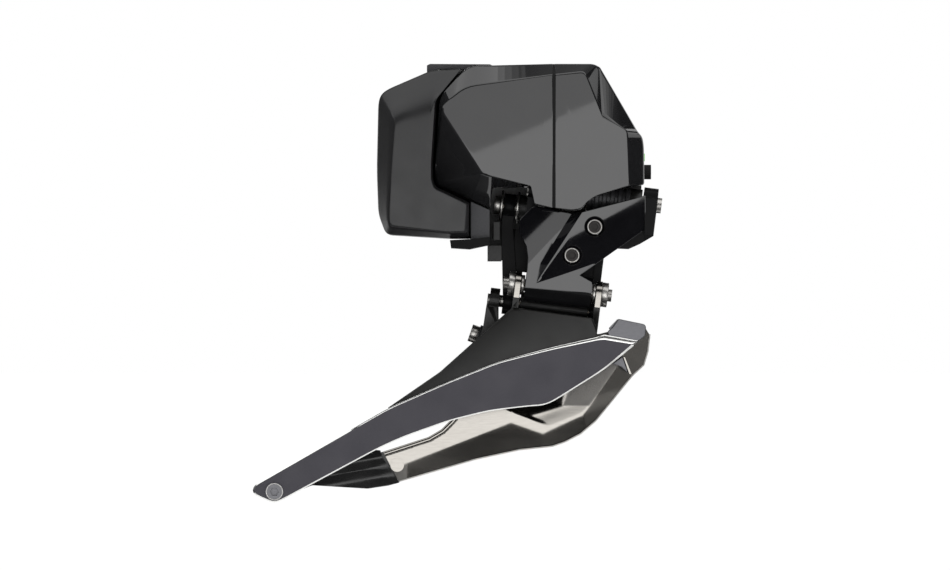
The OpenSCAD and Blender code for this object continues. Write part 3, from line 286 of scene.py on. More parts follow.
above.light_linking.receiver_collection = floor_only
all_but_floor = bpy.data.collections.new("all_but_floor")
all_but_floor.objects.link(floor)
all_but_floor.collection_objects[0].light_linking.link_state = "EXCLUDE"
for lamp in bpy.context.scene.objects:
    if lamp.type == "LIGHT" and lamp != above:
        lamp.light_linking.receiver_collection = all_but_floor
print("floor at", round(floor_z / MM, 1), "mm")

# %% [markdown]
# Most finishes here are one family: a moulded, painted or plated skin whose colour wanders a little, whose
# gloss is smudged in patches a few millimetres wide, and which has a fine grain.
# One recipe takes those sizes in millimetres, and each finish below says what the real material is.

# %% Recipe for a skin
PATCH_MM = 7.0


def skin(name, pale, dark, rough, grain_mm, grain_depth, metal=0.0, ior=1.5, stretch=(1, 1, 1)):
    """Colour and roughness follow slow noise of PATCH_MM; finer noise of grain_mm stands up by grain_depth.
    stretch draws both out along the axes."""
    made = bpy.data.materials.new(name)
    made.use_nodes = True
    tree = made.node_tree
    bsdf = tree.nodes["Principled BSDF"]
    spot = add(tree, "ShaderNodeTexCoord").outputs["Object"]
    spot = add(tree, "ShaderNodeMapping", {"Vector": spot, "Scale": stretch}).outputs[0]
    slow = add(tree, "ShaderNodeTexNoise", {"Vector": spot, "Scale": 1 / (PATCH_MM * MM), "Detail": 3.0})
    fine = add(tree, "ShaderNodeTexNoise", {"Vector": spot, "Scale": 1 / (grain_mm * MM), "Detail": 2.0})
    both = add(tree, "ShaderNodeMix", {0: 0.45, 2: slow.outputs[0], 3: fine.outputs[0]}, data_type="FLOAT")
    tint = add(tree, "ShaderNodeValToRGB", {0: both.outputs[0]})
    tint.color_ramp.elements[0].position = 0.3
    tint.color_ramp.elements[1].position = 0.7
    tint.color_ramp.elements[0].color = linear(dark)
    tint.color_ramp.elements[1].color = linear(pale)
    gloss = add(tree, "ShaderNodeMapRange", {"Value": slow.outputs[0], "From Min": 0.3, "From Max": 0.7,
                                             "To Min": rough[0], "To Max": rough[1]})
    tree.links.new(tint.outputs[0], bsdf.inputs["Base Color"])
    tree.links.new(gloss.outputs[0], bsdf.inputs["Roughness"])
    if grain_depth:
        bump = add(tree, "ShaderNodeBump", {"Strength": grain_depth, "Distance": grain_mm * MM / 4,
                                            "Height": fine.outputs[0]})
        tree.links.new(bump.outputs[0], bsdf.inputs["Normal"])
    bsdf.inputs["Metallic"].default_value = metal
    bsdf.inputs["IOR"].default_value = ior
    return made


# %% [markdown]
# The finishes. Housing and outer link are black lacquer over a moulded or cast body: a hard clear skin, so a
# high IOR and very little roughness. The battery is textured ABS. Cage plates are aluminium and steel: the
# outer one anodised dark grey with its edges polished bare, the inner one nickel plated.

# %% Finishes
finish = {
    "gloss_black": skin("lacquered_black", "#1a1a1b", "#161617", (0.03, 0.06), 0.5, 0.0, ior=1.57),
    "lacquered_link": skin("lacquered_casting", "#0e0e10", "#09090b", (0.03, 0.06), 0.5, 0.0, ior=1.6),
    "satin_black": skin("black_anodised_link", "#0f0f10", "#0a0a0b", (0.26, 0.36), 0.3, 0.06, ior=1.14),
    "battery_black": skin("textured_abs", "#1b1b1c", "#161617", (0.3, 0.4), 0.3, 0.08, ior=1.42),
    "seal_rubber": skin("seal_rubber", "#0b0b0b", "#060606", (0.6, 0.75), 0.3, 0.2, ior=1.3),
    "matte_black_metal": skin("black_anodised", "#131312", "#0c0c0b", (0.34, 0.44), 0.25, 0.08, ior=1.38),
    "skid_plastic": skin("black_nylon", "#191919", "#131313", (0.22, 0.32), 0.3, 0.05, ior=1.45),
    "anodised_grey": skin("grey_anodised", "#3a393e", "#353438", (0.36, 0.44), 0.25, 0.05, metal=0.8),
    "nickel_steel": skin("nickel_plated", "#95928d", "#888580", (0.14, 0.22), 0.4, 0.03, metal=1.0,
                         stretch=(0.15, 1, 1)),
    "satin_nickel": skin("brushed_nickel", "#67676a", "#5d5d60", (0.36, 0.44), 0.25, 0.08, metal=1.0,
                         stretch=(0.15, 1, 1)),
    "steel": skin("polished_steel", "#bcbab6", "#a5a3a0", (0.28, 0.38), 0.4, 0.02, metal=1.0),
    "dark_steel": skin("blackened_steel", "#2b2928", "#211f1e", (0.3, 0.4), 0.3, 0.05, metal=0.8),
    "bare_aluminium": skin("milled_aluminium", "#e2e2e0", "#cfcfcd", (0.2, 0.28), 0.3, 0.03, metal=1.0,
                           stretch=(0.2, 1, 1)),
    "grey_metal": skin("cast_zinc", "#38383a", "#2e2e30", (0.4, 0.5), 0.4, 0.12, metal=0.6),
    "brass": skin("turned_brass", "#b08d4e", "#967640", (0.25, 0.35), 0.4, 0.05, metal=1.0),
    "board_green": skin("solder_mask", "#14502f", "#0c3a21", (0.25, 0.4), 0.8, 0.1),
    "cell_wrap": skin("shrink_wrap", "#2c5382", "#21416a", (0.25, 0.4), 1.0, 0.1),
    "green_lens": skin("green_lens", "#7ddc58", "#58c23c", (0.1, 0.2), 0.5, 0.0),
}

# %% [markdown]
# The inner plate's own finish is the nickel plating with its blasted panels: where the mesh's blast attribute
# is one, the skin is rough and duller, with a coarse pitted grain a third of a millimetre wide.

# %% Pressed and blasted nickel
PIT_MM, PIT_DEPTH_MM, BLAST_ROUGH = 0.35, 0.12, 0.55
pressed_nickel = finish["nickel_steel"].copy()
pressed_nickel.name = "pressed_nickel"
tree = pressed_nickel.node_tree
bsdf = tree.nodes["Principled BSDF"]
plain_rough = bsdf.inputs["Roughness"].links[0].from_socket
plain_colour = bsdf.inputs["Base Color"].links[0].from_socket
mark = add(tree, "ShaderNodeAttribute", attribute_name="blast").outputs["Fac"]
where = add(tree, "ShaderNodeTexCoord").outputs["Object"]
pits = add(tree, "ShaderNodeTexNoise", {"Vector": where, "Scale": 1 / (PIT_MM * MM), "Detail": 2.0})
rough = add(tree, "ShaderNodeMix", {0: mark, 2: plain_rough, 3: BLAST_ROUGH}, data_type="FLOAT")
dull = add(tree, "ShaderNodeMix", {0: mark, 6: plain_colour, 7: linear("#7c7a77")}, data_type="RGBA")
strength = add(tree, "ShaderNodeMath", {0: mark, 1: 0.8}, operation="MULTIPLY")
bump = add(tree, "ShaderNodeBump", {"Strength": strength.outputs[0], "Distance": PIT_DEPTH_MM * MM,
                                    "Height": pits.outputs[0]})
tree.links.new(rough.outputs[0], bsdf.inputs["Roughness"])
tree.links.new(dull.outputs[2], bsdf.inputs["Base Color"])
tree.links.new(bump.outputs[0], bsdf.inputs["Normal"])
finish["pressed_nickel"] = pressed_nickel

slot_of = {row["node"]: row["material_slot"] for row in frame["record"]["subparts"]}
print("finishes", len(finish), "for", len(slot_of), "nodes")

# %% [markdown]
# The CAD nodes that stay get their finish in their own material slot. Cut and turned parts never have a knife
# edge, so each gets a Weld, which joins its loose triangles, and a small Bevel that catches the light.

# %% Dress the CAD nodes
EDGE_MM = {
    "gloss_black": 0.25, "satin_black": 0.25, "matte_black_metal": 0.25, "steel": 0.12, "nickel_steel": 0.12,
    "anodised_grey": 0.15, "skid_plastic": 0.3, "battery_black": 0.3, "grey_metal": 0.15}
FINE_EDGE_MM = 0.1
DOUBLE = 2e-6
own_finish = {
    "upper_limit_screw": "dark_steel", "lower_limit_screw": "dark_steel", "skid_rivet": "pressed_nickel",
    "latch": "grey_metal", "base_frame": "matte_black_metal", "shaft_sleeve": "grey_metal",
    "tail_screw": "satin_nickel"}


def broken_edge(piece, width, angle=30):
    """A Bevel of that width in millimetres on every edge sharper than the angle."""
    edge = piece.modifiers.new("broken_edge", "BEVEL")
    edge.width = width * MM
    edge.segments = 2
    edge.limit_method = "ANGLE"
    edge.angle_limit = math.radians(angle)
    edge.harden_normals = True


def dress(name):
    """A CAD node's own object: its slot's finish, its triangles joined, and its sharp edges broken."""
    piece = nodes[name]
    piece.data.materials.clear()
    piece.data.materials.append(finish[own_finish.get(name, slot_of[name])])
    piece.modifiers.new("join", "WELD").merge_threshold = DOUBLE
    broken_edge(piece, EDGE_MM.get(slot_of[name], FINE_EDGE_MM), 35)


for name in nodes:
    dress(name)
print("dressed", len(nodes))

# %% [markdown]
# The new pieces are surfaces worked out as whole arrays. Three helpers carry most of them:
# an outline with its corners drawn as curves, an outline moved inwards by a wall, and the quads of a grid.
# Lengths are in millimetres until a mesh is made, and X and Z are those of the CAD model.

# %% Outlines and grids
CURVE, STRAIGHT = 5, 7
CURVE_SHARE = 0.45


def rounded(points, radius):
    """Each corner becomes a quadratic curve between points at radius along its two edges, at most
    CURVE_SHARE of an edge. A curve has CURVE points and a straight STRAIGHT, so outlines of as many corners
    match."""
    p = np.asarray(points, float)
    r = np.broadcast_to(np.asarray(radius, float), len(p))

    def towards(other):
        v = other - p
        d = np.linalg.norm(v, axis=1)
        return p + v / d[:, None] * np.minimum(r, CURVE_SHARE * d)[:, None]

    start, end = towards(np.roll(p, 1, 0)), towards(np.roll(p, -1, 0))
    t = np.linspace(0, 1, CURVE)[None, :, None]
    curve = (1 - t) ** 2 * start[:, None] + 2 * t * (1 - t) * p[:, None] + t ** 2 * end[:, None]
    s = np.linspace(0, 1, STRAIGHT + 2)[None, 1:-1, None]
    straight = end[:, None] * (1 - s) + np.roll(start, -1, 0)[:, None] * s
    return np.concatenate([curve, straight], 1).reshape(-1, 2)


def round_the_ring(values):
    """One value per corner, spread over the points of rounded: held on curves, blended along straights."""
    v = np.asarray(values, float)[:, None]
    s = np.linspace(0, 1, STRAIGHT + 2)[None, 1:-1]
    return np.concatenate([np.repeat(v, CURVE, 1), v * (1 - s) + np.roll(v, -1, 0) * s], 1).reshape(-1)


def inset(points, d):
    """Each edge moves to its left by d: a corner moves by the sum of its two normals n and m over 1 + n.m."""
    p = np.asarray(points, float)
    u = np.roll(p, -1, 0) - p
    u /= np.linalg.norm(u, axis=1)[:, None]
    n = np.stack([-u[:, 1], u[:, 0]], 1)
    m = np.roll(n, 1, 0)
    return p + d * (n + m) / (1 + (n * m).sum(1))[:, None]


def quads(rows, cols, wrap=False):
    """Corners of every quad of a grid, row by row; wrap joins the last column to the first."""
    r, c = np.meshgrid(np.arange(rows - 1), np.arange(cols if wrap else cols - 1), indexing="ij")
    n = (c + 1) % cols
    return np.stack([r * cols + c, r * cols + n, (r + 1) * cols + n, (r + 1) * cols + c], -1).reshape(-1, 4)


def along(points, count):
    """A polyline sampled at equal steps of its own length."""
    p = np.asarray(points, float)
    d = np.concatenate([[0], np.cumsum(np.linalg.norm(np.diff(p, axis=0), axis=1))])
    s = np.linspace(0, d[-1], count)
    return np.stack([np.interp(s, d, p[:, k]) for k in range(p.shape[1])], 1)


def between(a, b, cols, power=1.0):
    """Rows from line a to line b, straight across; a power above 1 crowds the columns towards a."""
    w = np.linspace(0, 1, cols)[None, :, None] ** power
    return a[:, None] * (1 - w) + b[:, None] * w


def fan(middle, ring, rows):
    """Rings that grow evenly from a middle point out to a ring."""
    return middle + np.linspace(0, 1, rows)[:, None, None] * (ring - middle)


def with_y(p, y):
    """Points of X and Z, with their depth put in between."""
    return np.stack([p[..., 0], np.broadcast_to(y, p.shape[:-1]), p[..., 1]], -1)


def ring_face(row, cols):
    """The whole ring of one row as a single face."""
    return list(range(row * cols, (row + 1) * cols))


# %% [markdown]
# A mesh is made from a list of grids. Doubles are merged first, so seams and poles close, and then the
# normals are turned outwards. Edges sharper than an angle stay sharp, and the rest are shaded smooth.
# Where a CAD node is only cut, a copy of its mesh is taken, with its loose triangles joined into whole faces.

# %% Meshes
SHARP = math.radians(32)
LEVEL = math.radians(0.5)


def mesh_from(name, parts):
    """One mesh from parts of points in mm, faces, and a material number for all faces or one for each."""
    counts = np.cumsum([0] + [len(p[0]) for p in parts])
    points = np.concatenate([p[0] for p in parts]) * MM
    faces = [[int(i) + int(k) for i in f] for p, k in zip(parts, counts) for f in p[1]]
    mesh = bpy.data.meshes.new(name)
    mesh.from_pydata(points.tolist(), [], faces)
    mesh.polygons.foreach_set("material_index", np.concatenate([np.full(len(p[1]), p[2]) for p in parts]))
    work = bmesh.new()
    work.from_mesh(mesh)
    bmesh.ops.remove_doubles(work, verts=work.verts, dist=DOUBLE)
    bmesh.ops.recalc_face_normals(work, faces=work.faces)
    work.to_mesh(mesh)
    work.free()
    return mesh


def merged_copy(name):
    """A copy of a CAD node's mesh with its loose triangles joined."""
    mesh = nodes[name].data.copy()
    mesh.materials.clear()
    work = bmesh.new()
    work.from_mesh(mesh)
    bmesh.ops.remove_doubles(work, verts=work.verts, dist=DOUBLE)
    bmesh.ops.dissolve_limit(work, angle_limit=LEVEL, verts=work.verts, edges=work.edges)
    work.to_mesh(mesh)
    work.free()
    return mesh


def place(name, mesh, finishes, body, stands_for=()):
    """Puts a mesh into the scene with its finishes, on its body, in the place of the nodes it stands for.
    A Weighted Normal keeps large faces flat up to their rounded edges."""
    for f in finishes:
        mesh.materials.append(finish[f])
    mesh.shade_smooth()
    mesh.set_sharp_from_angle(angle=SHARP)
    made = bpy.data.objects.new(name, mesh)
    bpy.context.scene.collection.objects.link(made)
    made.modifiers.new("flat_faces", "WEIGHTED_NORMAL").keep_sharp = True
    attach(made, body)
    if stands_for:
        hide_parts(*stands_for)
    print(name, len(mesh.polygons), "faces")
    return made


def carved(mesh, cutters, operation="DIFFERENCE"):
    """The mesh with each cutter's closed volume taken out of it, or joined or kept, worked out exactly."""
    host = bpy.data.objects.new("host", mesh)
    bpy.context.scene.collection.objects.link(host)
    tools = []
    for volume in cutters:
        tool = bpy.data.objects.new("tool", volume)
        bpy.context.scene.collection.objects.link(tool)
        tools.append(tool)
        step = host.modifiers.new("carve", "BOOLEAN")
        step.operation = operation
        step.solver = "EXACT"
        step.object = tool
    shape = bpy.data.meshes.new_from_object(host.evaluated_get(bpy.context.evaluated_depsgraph_get()))
    for extra in [host, *tools]:
        bpy.data.objects.remove(extra)
    return shape


# %% [markdown]
# Cutters and plain cast pieces are prisms and bars. The pivots of the linkage are tipped seven degrees,
# front end down, so a bar along a pivot is drawn level and then turned.

# %% Prisms, bars and the tilt
TILT = math.radians(7)


def tilted(p):
    """Points of the level frame, turned about Y so that X runs down the pivots."""
    x, y, z = np.asarray(p, float).T
    return np.stack([x * math.cos(TILT) + z * math.sin(TILT), y, z * math.cos(TILT) - x * math.sin(TILT)], 1)


def prism(points, y0, y1, edge=0.0):
    """An outline of X and Z carried from y0 to y1; its rims are drawn in by edge, as a broken edge."""
    p = np.asarray(points, float)
    rows = [(p if e == 0 else inset(p, e), y) for e, y in
            ([(0, y0), (0, y1)] if edge == 0 else [(edge, y0), (0, y0 + edge), (0, y1 - edge), (edge, y1)])]
    n = len(p)
    grid = np.concatenate([with_y(q, y) for q, y in rows])
    return grid, quads(len(rows), n, True).tolist() + [ring_face(0, n), ring_face(len(rows) - 1, n)]


def bar(span, y, z, r, steps=40):
    """A round bar along X, from span[0] to span[1]."""
    a = np.linspace(0, 2 * math.pi, steps, endpoint=False)
    rows = [np.stack([np.full(steps, x), y + r * np.cos(a), z + r * np.sin(a)], 1) for x in span]
    return np.concatenate(rows), quads(2, steps, True).tolist() + [ring_face(0, steps), ring_face(1, steps)]


def block(low, high):
    """A box between two corners."""
    (x0, y0, z0), (x1, y1, z1) = low, high
    return prism([(x0, z0), (x1, z0), (x1, z1), (x0, z1)], y0, y1)


def cutter(part, turn=False):
    """A closed mesh for carving; turn tips it with the pivots."""
    points, faces = part
    return mesh_from("cutter", [(tilted(points) if turn else points, faces, 0)])


# %% [markdown]
# Housing shells and battery are the same kind of moulding: an outline at the back, a smaller face in front,
# and bevels between them, all with soft corners. Each is a grid. A row is one ring round the piece, and the
# rows run from the middle of the face, out over its edge, down the bevel and the wall, round the rim and back
# inside.
# The face is a shallow dome, because a flat one would mirror a single grey.

# %% A moulded shell
FACE_ROWS, NOSE_ROWS, HEEL_ROWS = 20, 9, 5
HEEL = 0.1
LIP = (3.0, 2.6)


def moulding(outline, face, centre, depths, wall, corner, soft_edge, dome, lip=None):
    """Ring rows (t, k, y) for every point: t blends outline into face, k shrinks the ring to the centre, and
    the dome adds distance squared over twice its radius to y, in step with t. soft_edge is the share of the
    bevel that the rounded front edge takes, corner by corner; lip is an outline for the rim at the back.
    The bevel's depth may be one number or one for every point."""
    front, bevel, back = depths
    e = round_the_ring(soft_edge)
    one, none = np.ones_like(e), np.zeros_like(e)
    k = 1 - e / 3
    reach = bevel - front

    def row(t, k, y):
        return np.stack([t, k, y], -1)

    def arc(a, b, c, steps):
        s = np.linspace(0, 1, steps)[:, None, None]
        return (1 - s) ** 2 * a + 2 * s * (1 - s) * b + s ** 2 * c

    cap = np.stack([row(one, w * k, front * one) for w in np.linspace(0, 1, FACE_ROWS)])
    nose = arc(row(one, k, front * one), row(one, one, front * one), row(1 - e, one, front + e * reach),
               NOSE_ROWS)
    h = HEEL * one
    heel = arc(row(h, one, bevel - h * reach), row(none, one, bevel * one), row(none, one, bevel + h * reach),
               HEEL_ROWS)
    rim = row(none, one, back * one)[None]

    def rings(o, f, table):
        t, k, y = (table[..., i] for i in range(3))
        ring = o + t[..., None] * (f - o)
        ring = centre + k[..., None] * (ring - centre)
        sag = ((ring - dome[0]) ** 2).sum(-1) / (2 * dome[1])
        return with_y(ring, y + t * sag)

    o, f = rounded(outline, corner), rounded(face, corner)
    rows = [rings(o, f, np.concatenate([cap, nose[1:], heel]))]
    rear = rounded(lip, corner) if lip is not None else o
    if lip is not None:
        rows.append(rings(o, f, row(none, one, (back - LIP[0]) * one)[None]))
        rows.append(rings(rear, f, row(none, one, (back - LIP[1]) * one)[None]))
    rows.append(rings(rear, f, rim))
    o, f = rounded(inset(outline, wall), corner), rounded(inset(face, wall), corner)
    inside = np.stack([row(none, one, back * one), row(none, one, (bevel + 0.7) * one),
                       row(one, one, (front + wall) * one), row(one, none, (front + wall) * one)])
    rows.append(rings(o, f, inside))
    grid = np.concatenate(rows)
    return grid.reshape(-1, 3), quads(len(grid), grid.shape[1], True), 0


# %% [markdown]
# The housing is two shells that meet at a seam, with a rubber seal between them. One dome runs over both
# faces, so the mirrored edge of the light crosses the seam unbroken. Both shells are hollow and open under
# the pivots, where the links swing.

# %% Housing shells
SHELL = (-34.5, -26.5, -4.5)
WALL = 1.5
RIM = 1.1
DOME = (np.array([-9.0, 8.0]), 300.0)
REAR_SEAM, FRONT_SEAM = -4.5, -3.9
SEAM_LOW, SEAM_HIGH, SEAM_FACE = -10.0, 27.7, 24.8
PIVOT_B = (-24.0, -6.3)
PIVOT_A = (-12.0, -11.2)
rear_outline = [
    (REAR_SEAM, SEAM_LOW), (REAR_SEAM, SEAM_HIGH), (-26.8, 27), (-33.8, 19), (-35.1, 1.7), (-35.1, -2.3),
    (-34.5, -3.9), (-20.8, -10.05), (-20.1, -4.7), (-9.3, -4.4), (-9.3, -9.1)]
rear_face = [
    (REAR_SEAM, SEAM_LOW + 0.1), (REAR_SEAM, SEAM_FACE), (-27.5, 21.6), (-32.9, 16.8), (-33.6, 15.6),
    (-23.3, -0.6), (-22.9, -1), (-20.7, -1.6), (-20, -1.8), (-10.2, -4.25), (-9.2, -8.9)]
front_outline = [
    (FRONT_SEAM, SEAM_LOW), (0.3, -10.6), (3, -10.2), (4.3, -8.6), (6.6, -6.9), (15.4, -4.3), (19.4, -3.8),
    (19.3, 6.2), (18.9, 8.7), (17.7, 10), (7.9, 26.75), (6.2, 27.7), (FRONT_SEAM, SEAM_HIGH)]
front_face = [
    (FRONT_SEAM, SEAM_LOW + 0.1), (0.3, -10.5), (2.9, -10.1), (4.2, -8.5), (6.5, -6.8), (14.8, -4.3),
    (15.4, -4.2), (15.1, 4), (14.9, 8.4), (14.75, 10.3), (8.3, 14.2), (3.7, 25.7), (FRONT_SEAM, SEAM_FACE)]
rear_corner = np.array([0.1, 0.1, 3.0, 2.0, 1.5, 1.2, 1.2, 0.4, 0.3, 0.5, 0.3])
front_corner = np.array([0.1, 0.8, 0.8, 0.8, 1.5, 1.0, 0.6, 1.5, 1.0, 1.0, 0.4, 1.2, 0.1])
rear_soft = np.array([0.03, 0.05, 0.06, 0.06, 0.1, 0.12, 0.1, 0.05, 0.05, 0.05, 0.05])
front_soft = np.array([0.03, 0.05, 0.05, 0.05, 0.05, 0.06, 0.06, 0.06, 0.06, 0.06, 0.08, 0.08, 0.06])


def link_room():
    """Cutters for the room that links, pins and lugs need under the housing."""
    y, z = PIVOT_B
    ay, az = PIVOT_A
    return [cutter(part, True) for part in (
        bar((-11.2, 21.5), y, z, 5), block((-11.2, SHELL[0] + RIM, z - 20), (21.5, y + 5, z)),
        bar((-16.2, 12.7), ay, az, 3.7), block((-12.25, ay, az - 3.3), (9.5, -3.5, az + 3.3)))]


rear_bevel = np.array([-26.5, -26.5, -29.6, -32.6, -28.5, -26.5, -26.5, -26.5, -26.5, -26.5, -26.5])
rear_depths = (SHELL[0], round_the_ring(rear_bevel), SHELL[2])
REAR_CENTRE, FRONT_CENTRE = np.array([-8.0, 6.0]), np.array([5.0, 3.0])
rear = mesh_from("rear", [
    moulding(rear_outline, rear_face, REAR_CENTRE, rear_depths, WALL, rear_corner, rear_soft, DOME)])
LATCH_Y = (-24.4, -13.6)
SEAT_WALL = 1.5
seat = prism([(-18.3, 23), (-18.3, 27), (-26.6, 26.8), (-29.9, 23)],
             LATCH_Y[0] - SEAT_WALL, LATCH_Y[1] + SEAT_WALL)
rear = carved(rear, [cutter(seat)], "UNION")
open_low, open_high = (SHELL[0] + WALL, -20), (-3.5, SEAM_FACE - WALL)
rear_opening = block((REAR_SEAM - WALL - 0.5, *open_low), (REAR_SEAM + 1, *open_high))
latch_room = block((-33, LATCH_Y[0], 24.7), (-19.3, LATCH_Y[1], 28.5))
rear = carved(rear, [*link_room(), cutter(rear_opening), cutter(latch_room)])
place("rear_shell", rear, ["gloss_black"], "base", ["housing_rear_shell"])

front = mesh_from("front", [
    moulding(front_outline, front_face, FRONT_CENTRE, SHELL, WALL, front_corner, front_soft, DOME)])
front_opening = block((FRONT_SEAM - 1, *open_low), (FRONT_SEAM + WALL + 0.5, *open_high))
BUTTON = (-18, -0.4)
button_rooms = [bar((16.3, 22.3), *BUTTON, 1.95), bar((15.35, 17.65), *BUTTON, 2.7)]
lens_room = block((17, -20, 2.4), (19.9, -16, 4.4))
front = carved(front, [*link_room(), *(cutter(part) for part in (front_opening, *button_rooms, lens_room))])
place("front_shell", front, ["gloss_black"], "base", ["housing_front_shell"])

# %% [markdown]
# The battery is the same moulding in textured ABS, with rounder bevels and a pocket for the latch's nose.
# A lip on its back rim closes the slit towards the housing, as the real one keeps dirt off the contacts.

# %% Battery case
BATTERY = (-35.0, -29.0, -3.0)
battery_outline = [
    (-26.3, -17.4), (-26.2, -8.4), (-32.3, -5.5), (-34.9, -4.4), (-35.6, -2.4), (-35.6, 1.7), (-34.3, 19.1),
    (-28.2, 26.3), (-36.05, 25.9), (-48.3, 20.6), (-49.8, 18.3), (-50.2, 0), (-49.8, -11.5), (-47.8, -16.8),
    (-31.4, -17.8)]
battery_face = [
    (-26.7, -16.3), (-26.6, -9), (-32.5, -6.1), (-35.2, -4.9), (-36, -2.5), (-36, 1.7), (-35, 17.6),
    (-34.85, 18.3), (-36.2, 17.8), (-45.3, 14.3), (-45.9, 12.8), (-46.7, 0), (-47.3, -11.5), (-47.2, -14.7),
    (-31.4, -16.4)]
battery_corner = np.array([0.4, 0.4, 1, 1, 1, 1, 0.5, 0.4, 1.5, 2.5, 2.5, 3, 2, 1.5, 1])
battery_soft = np.array([0.2, 0.1, 0.1, 0.1, 0.1, 0.1, 0.1, 0.15, 0.45, 0.35, 0.3, 0.25, 0.25, 0.25, 0.2])
battery_lip = np.array(battery_outline)
slit = np.array([0.4, 0.42, 0.42, 0.42, 0.42, 0.42, 0.42, 0.42])
battery_lip[:8] += slit[:, None] * (inset(battery_outline, -1.0) - battery_lip)[:8]
case = mesh_from("case", [moulding(battery_outline, battery_face, np.array([-41.0, -9.0]), BATTERY, WALL,
                                   battery_corner, battery_soft, (np.array([-40.0, 0.0]), 500.0),
                                   battery_lip)])
pocket = prism([(-37.9, 26.8), (-37.9, 24.3), (-35.7, 24.3), (-33.4, 26.8)], *LATCH_Y)
pads = [cutter(block((-27.75, -15, z - 1), (-25.9, -13, z + 1))) for z in (-11.5, -14.5)]
case = carved(case, [cutter(pocket), *pads])
place("battery_body", case, ["battery_black"], "battery", ["battery_case"])

# %% [markdown]
# Light must not pass through the joint between battery and housing. The base has a thin flange behind that
# joint and a web behind the inner link, and the contact block has a rubber lip on its side: three flat
# mouldings.

# %% Flange, web and lip behind the joints
FLANGE_END = [(-27.8, 24.7), (-29.6, 26.2)]
flange_outline = np.concatenate([
    inset(battery_outline, -1.3)[:7], FLANGE_END, inset(battery_outline, 1.0)[:7][::-1]])
web_outline = [(-19, -8.5), (-19, -23.4), (-12.6, -23.4), (-12.6, -8.5)]
backing = mesh_from("base_flange", [
    (*prism(flange_outline, -2.9, -2.3), 0), (*prism(rounded(web_outline, 1), -2.7, -1.6, 0.2), 0)])
place("base_flange", backing, ["satin_black"], "base")
lip_outline = rounded([(-26.02, -17.2), (-25.6, -17.2), (-25.6, -8.9), (-26.02, -8.7)], 0.1)
lip = mesh_from("contact_lip", [(*prism(lip_outline, -26.5, -6.2, 0.05), 0)])
place("contact_lip", lip, ["seal_rubber"], "base")

# %% [markdown]
# The outer link is a casting with a sharp ridge across it. Left of the ridge a wall drops to a smooth lobe,
# right of it a hollowed facet carries the two limit screws, and a skirt runs down to the lower pivot.
# The facets are grids between given lines. Two of them bend in one direction only, so that part of
# each mirrors the panel and the rest a black card. The pivot bosses behind stay as the CAD has them.

# %% Outer link
LINK_BACK = -28.15
LINK_EDGE = 0.18
RIDGE = [(3.2, -11.05), (-8.7, -29.4)]
BAND = [(0.33, -11.45), (-7.6, -24.2), (-8.7, -29.4)]
LEFT_RIM = [
    (-9.5, -9.45), (-13, -13), (-13, -16.25), (-11.2, -19.75), (-10.8, -22.7), (-11, -25.7), (-11.6, -30.4)]
RIGHT_RIM = [(19.4, -6.9), (19.5, -15.2), (6.75, -24.2)]
SKIRT_RIM = [(6.75, -24.2), (2.3, -27.3), (5.7, -29.2), (5.6, -31.9)]
CREST = np.array([0.12, -0.05, -0.08])
LOBE_Y = -30.3
ROWS = 31


def facet_y(p):
    """Depth of the right facet: it falls away from the ridge, and ever more steeply, along one direction."""
    u = (p - np.array([-0.13, -16.46])) @ np.array([0.505, -0.863])
    return -32.4 + 0.194 * (u + 3) + 0.005 * (u * u - 9)


def lobe_y(p):
    """Depth of the lobe: level beside the wall, then falling away to the upper left, ever more steeply."""
    v = np.maximum((p - np.array([-3.25, -11.16])) @ np.array([-0.736, 0.676]), -3)
    return LOBE_Y + 0.16 * (v + 3) + 0.006 * (v + 3) ** 2


def skirt_y(p):
    """Depth of the skirt: level with the lobe, then falling away evenly to the lower right."""
    return LOBE_Y + np.maximum((p - RIDGE[1]) @ np.array([0.0764, -0.05]), 0)


def sheet(a, b, cols, depth):
    """Rows between two lines of X and Z, every point at the depth that its place gives."""
    flat = between(a, b, cols)
    return with_y(flat, depth(flat))


ridge, band, left, right = (along(p, ROWS) for p in (RIDGE, BAND, LEFT_RIM, RIGHT_RIM))
facet = sheet(ridge, right, 21, facet_y)
lobe = sheet(left, band, 15, lobe_y)
skirt = sheet(along([RIDGE[1], LEFT_RIM[-1]], ROWS), along(SKIRT_RIM, ROWS), 21, skirt_y)
skirt[0] = facet[-1]
wall = between(lobe[:, -1], facet[:, 0] - CREST, 3)
crest = between(wall[:, -1], facet[:, 0], 2)
patches = [(g.reshape(-1, 3), quads(*g.shape[:2]), 0) for g in (facet, lobe, wall, crest, skirt)]
rim = np.concatenate([
    lobe[0, :-1], wall[0, :-1], crest[0, :-1], facet[0, :-1], facet[:-1, -1], skirt[:-1, -1],
    skirt[-1, ::-1][:-1], lobe[::-1, 0][:-1]])
n = len(rim)
out = inset(rim[:, [0, 2]], LINK_EDGE)
foot = with_y(out, LINK_BACK + 0.15)
edge = np.concatenate([rim, with_y(out, rim[:, 1] + LINK_EDGE), foot])
patches += [(edge, quads(3, n, True), 0), (foot, [ring_face(0, n)], 0)]
face = mesh_from("link_face", patches)
LIMITS = np.array([(6.43, -14.75), (0.53, -22.15)])
BORE = ((2.75, -36, 2.75, -29.95), (2.76, -29.96, 2.04, -29.2), (2.05, -36, 2.05, -27))
circle = np.linspace(0, 2 * math.pi, 48, endpoint=False)
ring = np.stack([np.cos(circle), np.sin(circle)], 1)


def cone(at, r0, y0, r1, y1):
    """A round bar along Y whose radius goes evenly from r0 to r1."""
    n = len(ring)
    grid = np.concatenate([with_y(at + r0 * ring, y0), with_y(at + r1 * ring, y1)])
    return grid, quads(2, n, True).tolist() + [ring_face(0, n), ring_face(1, n)]


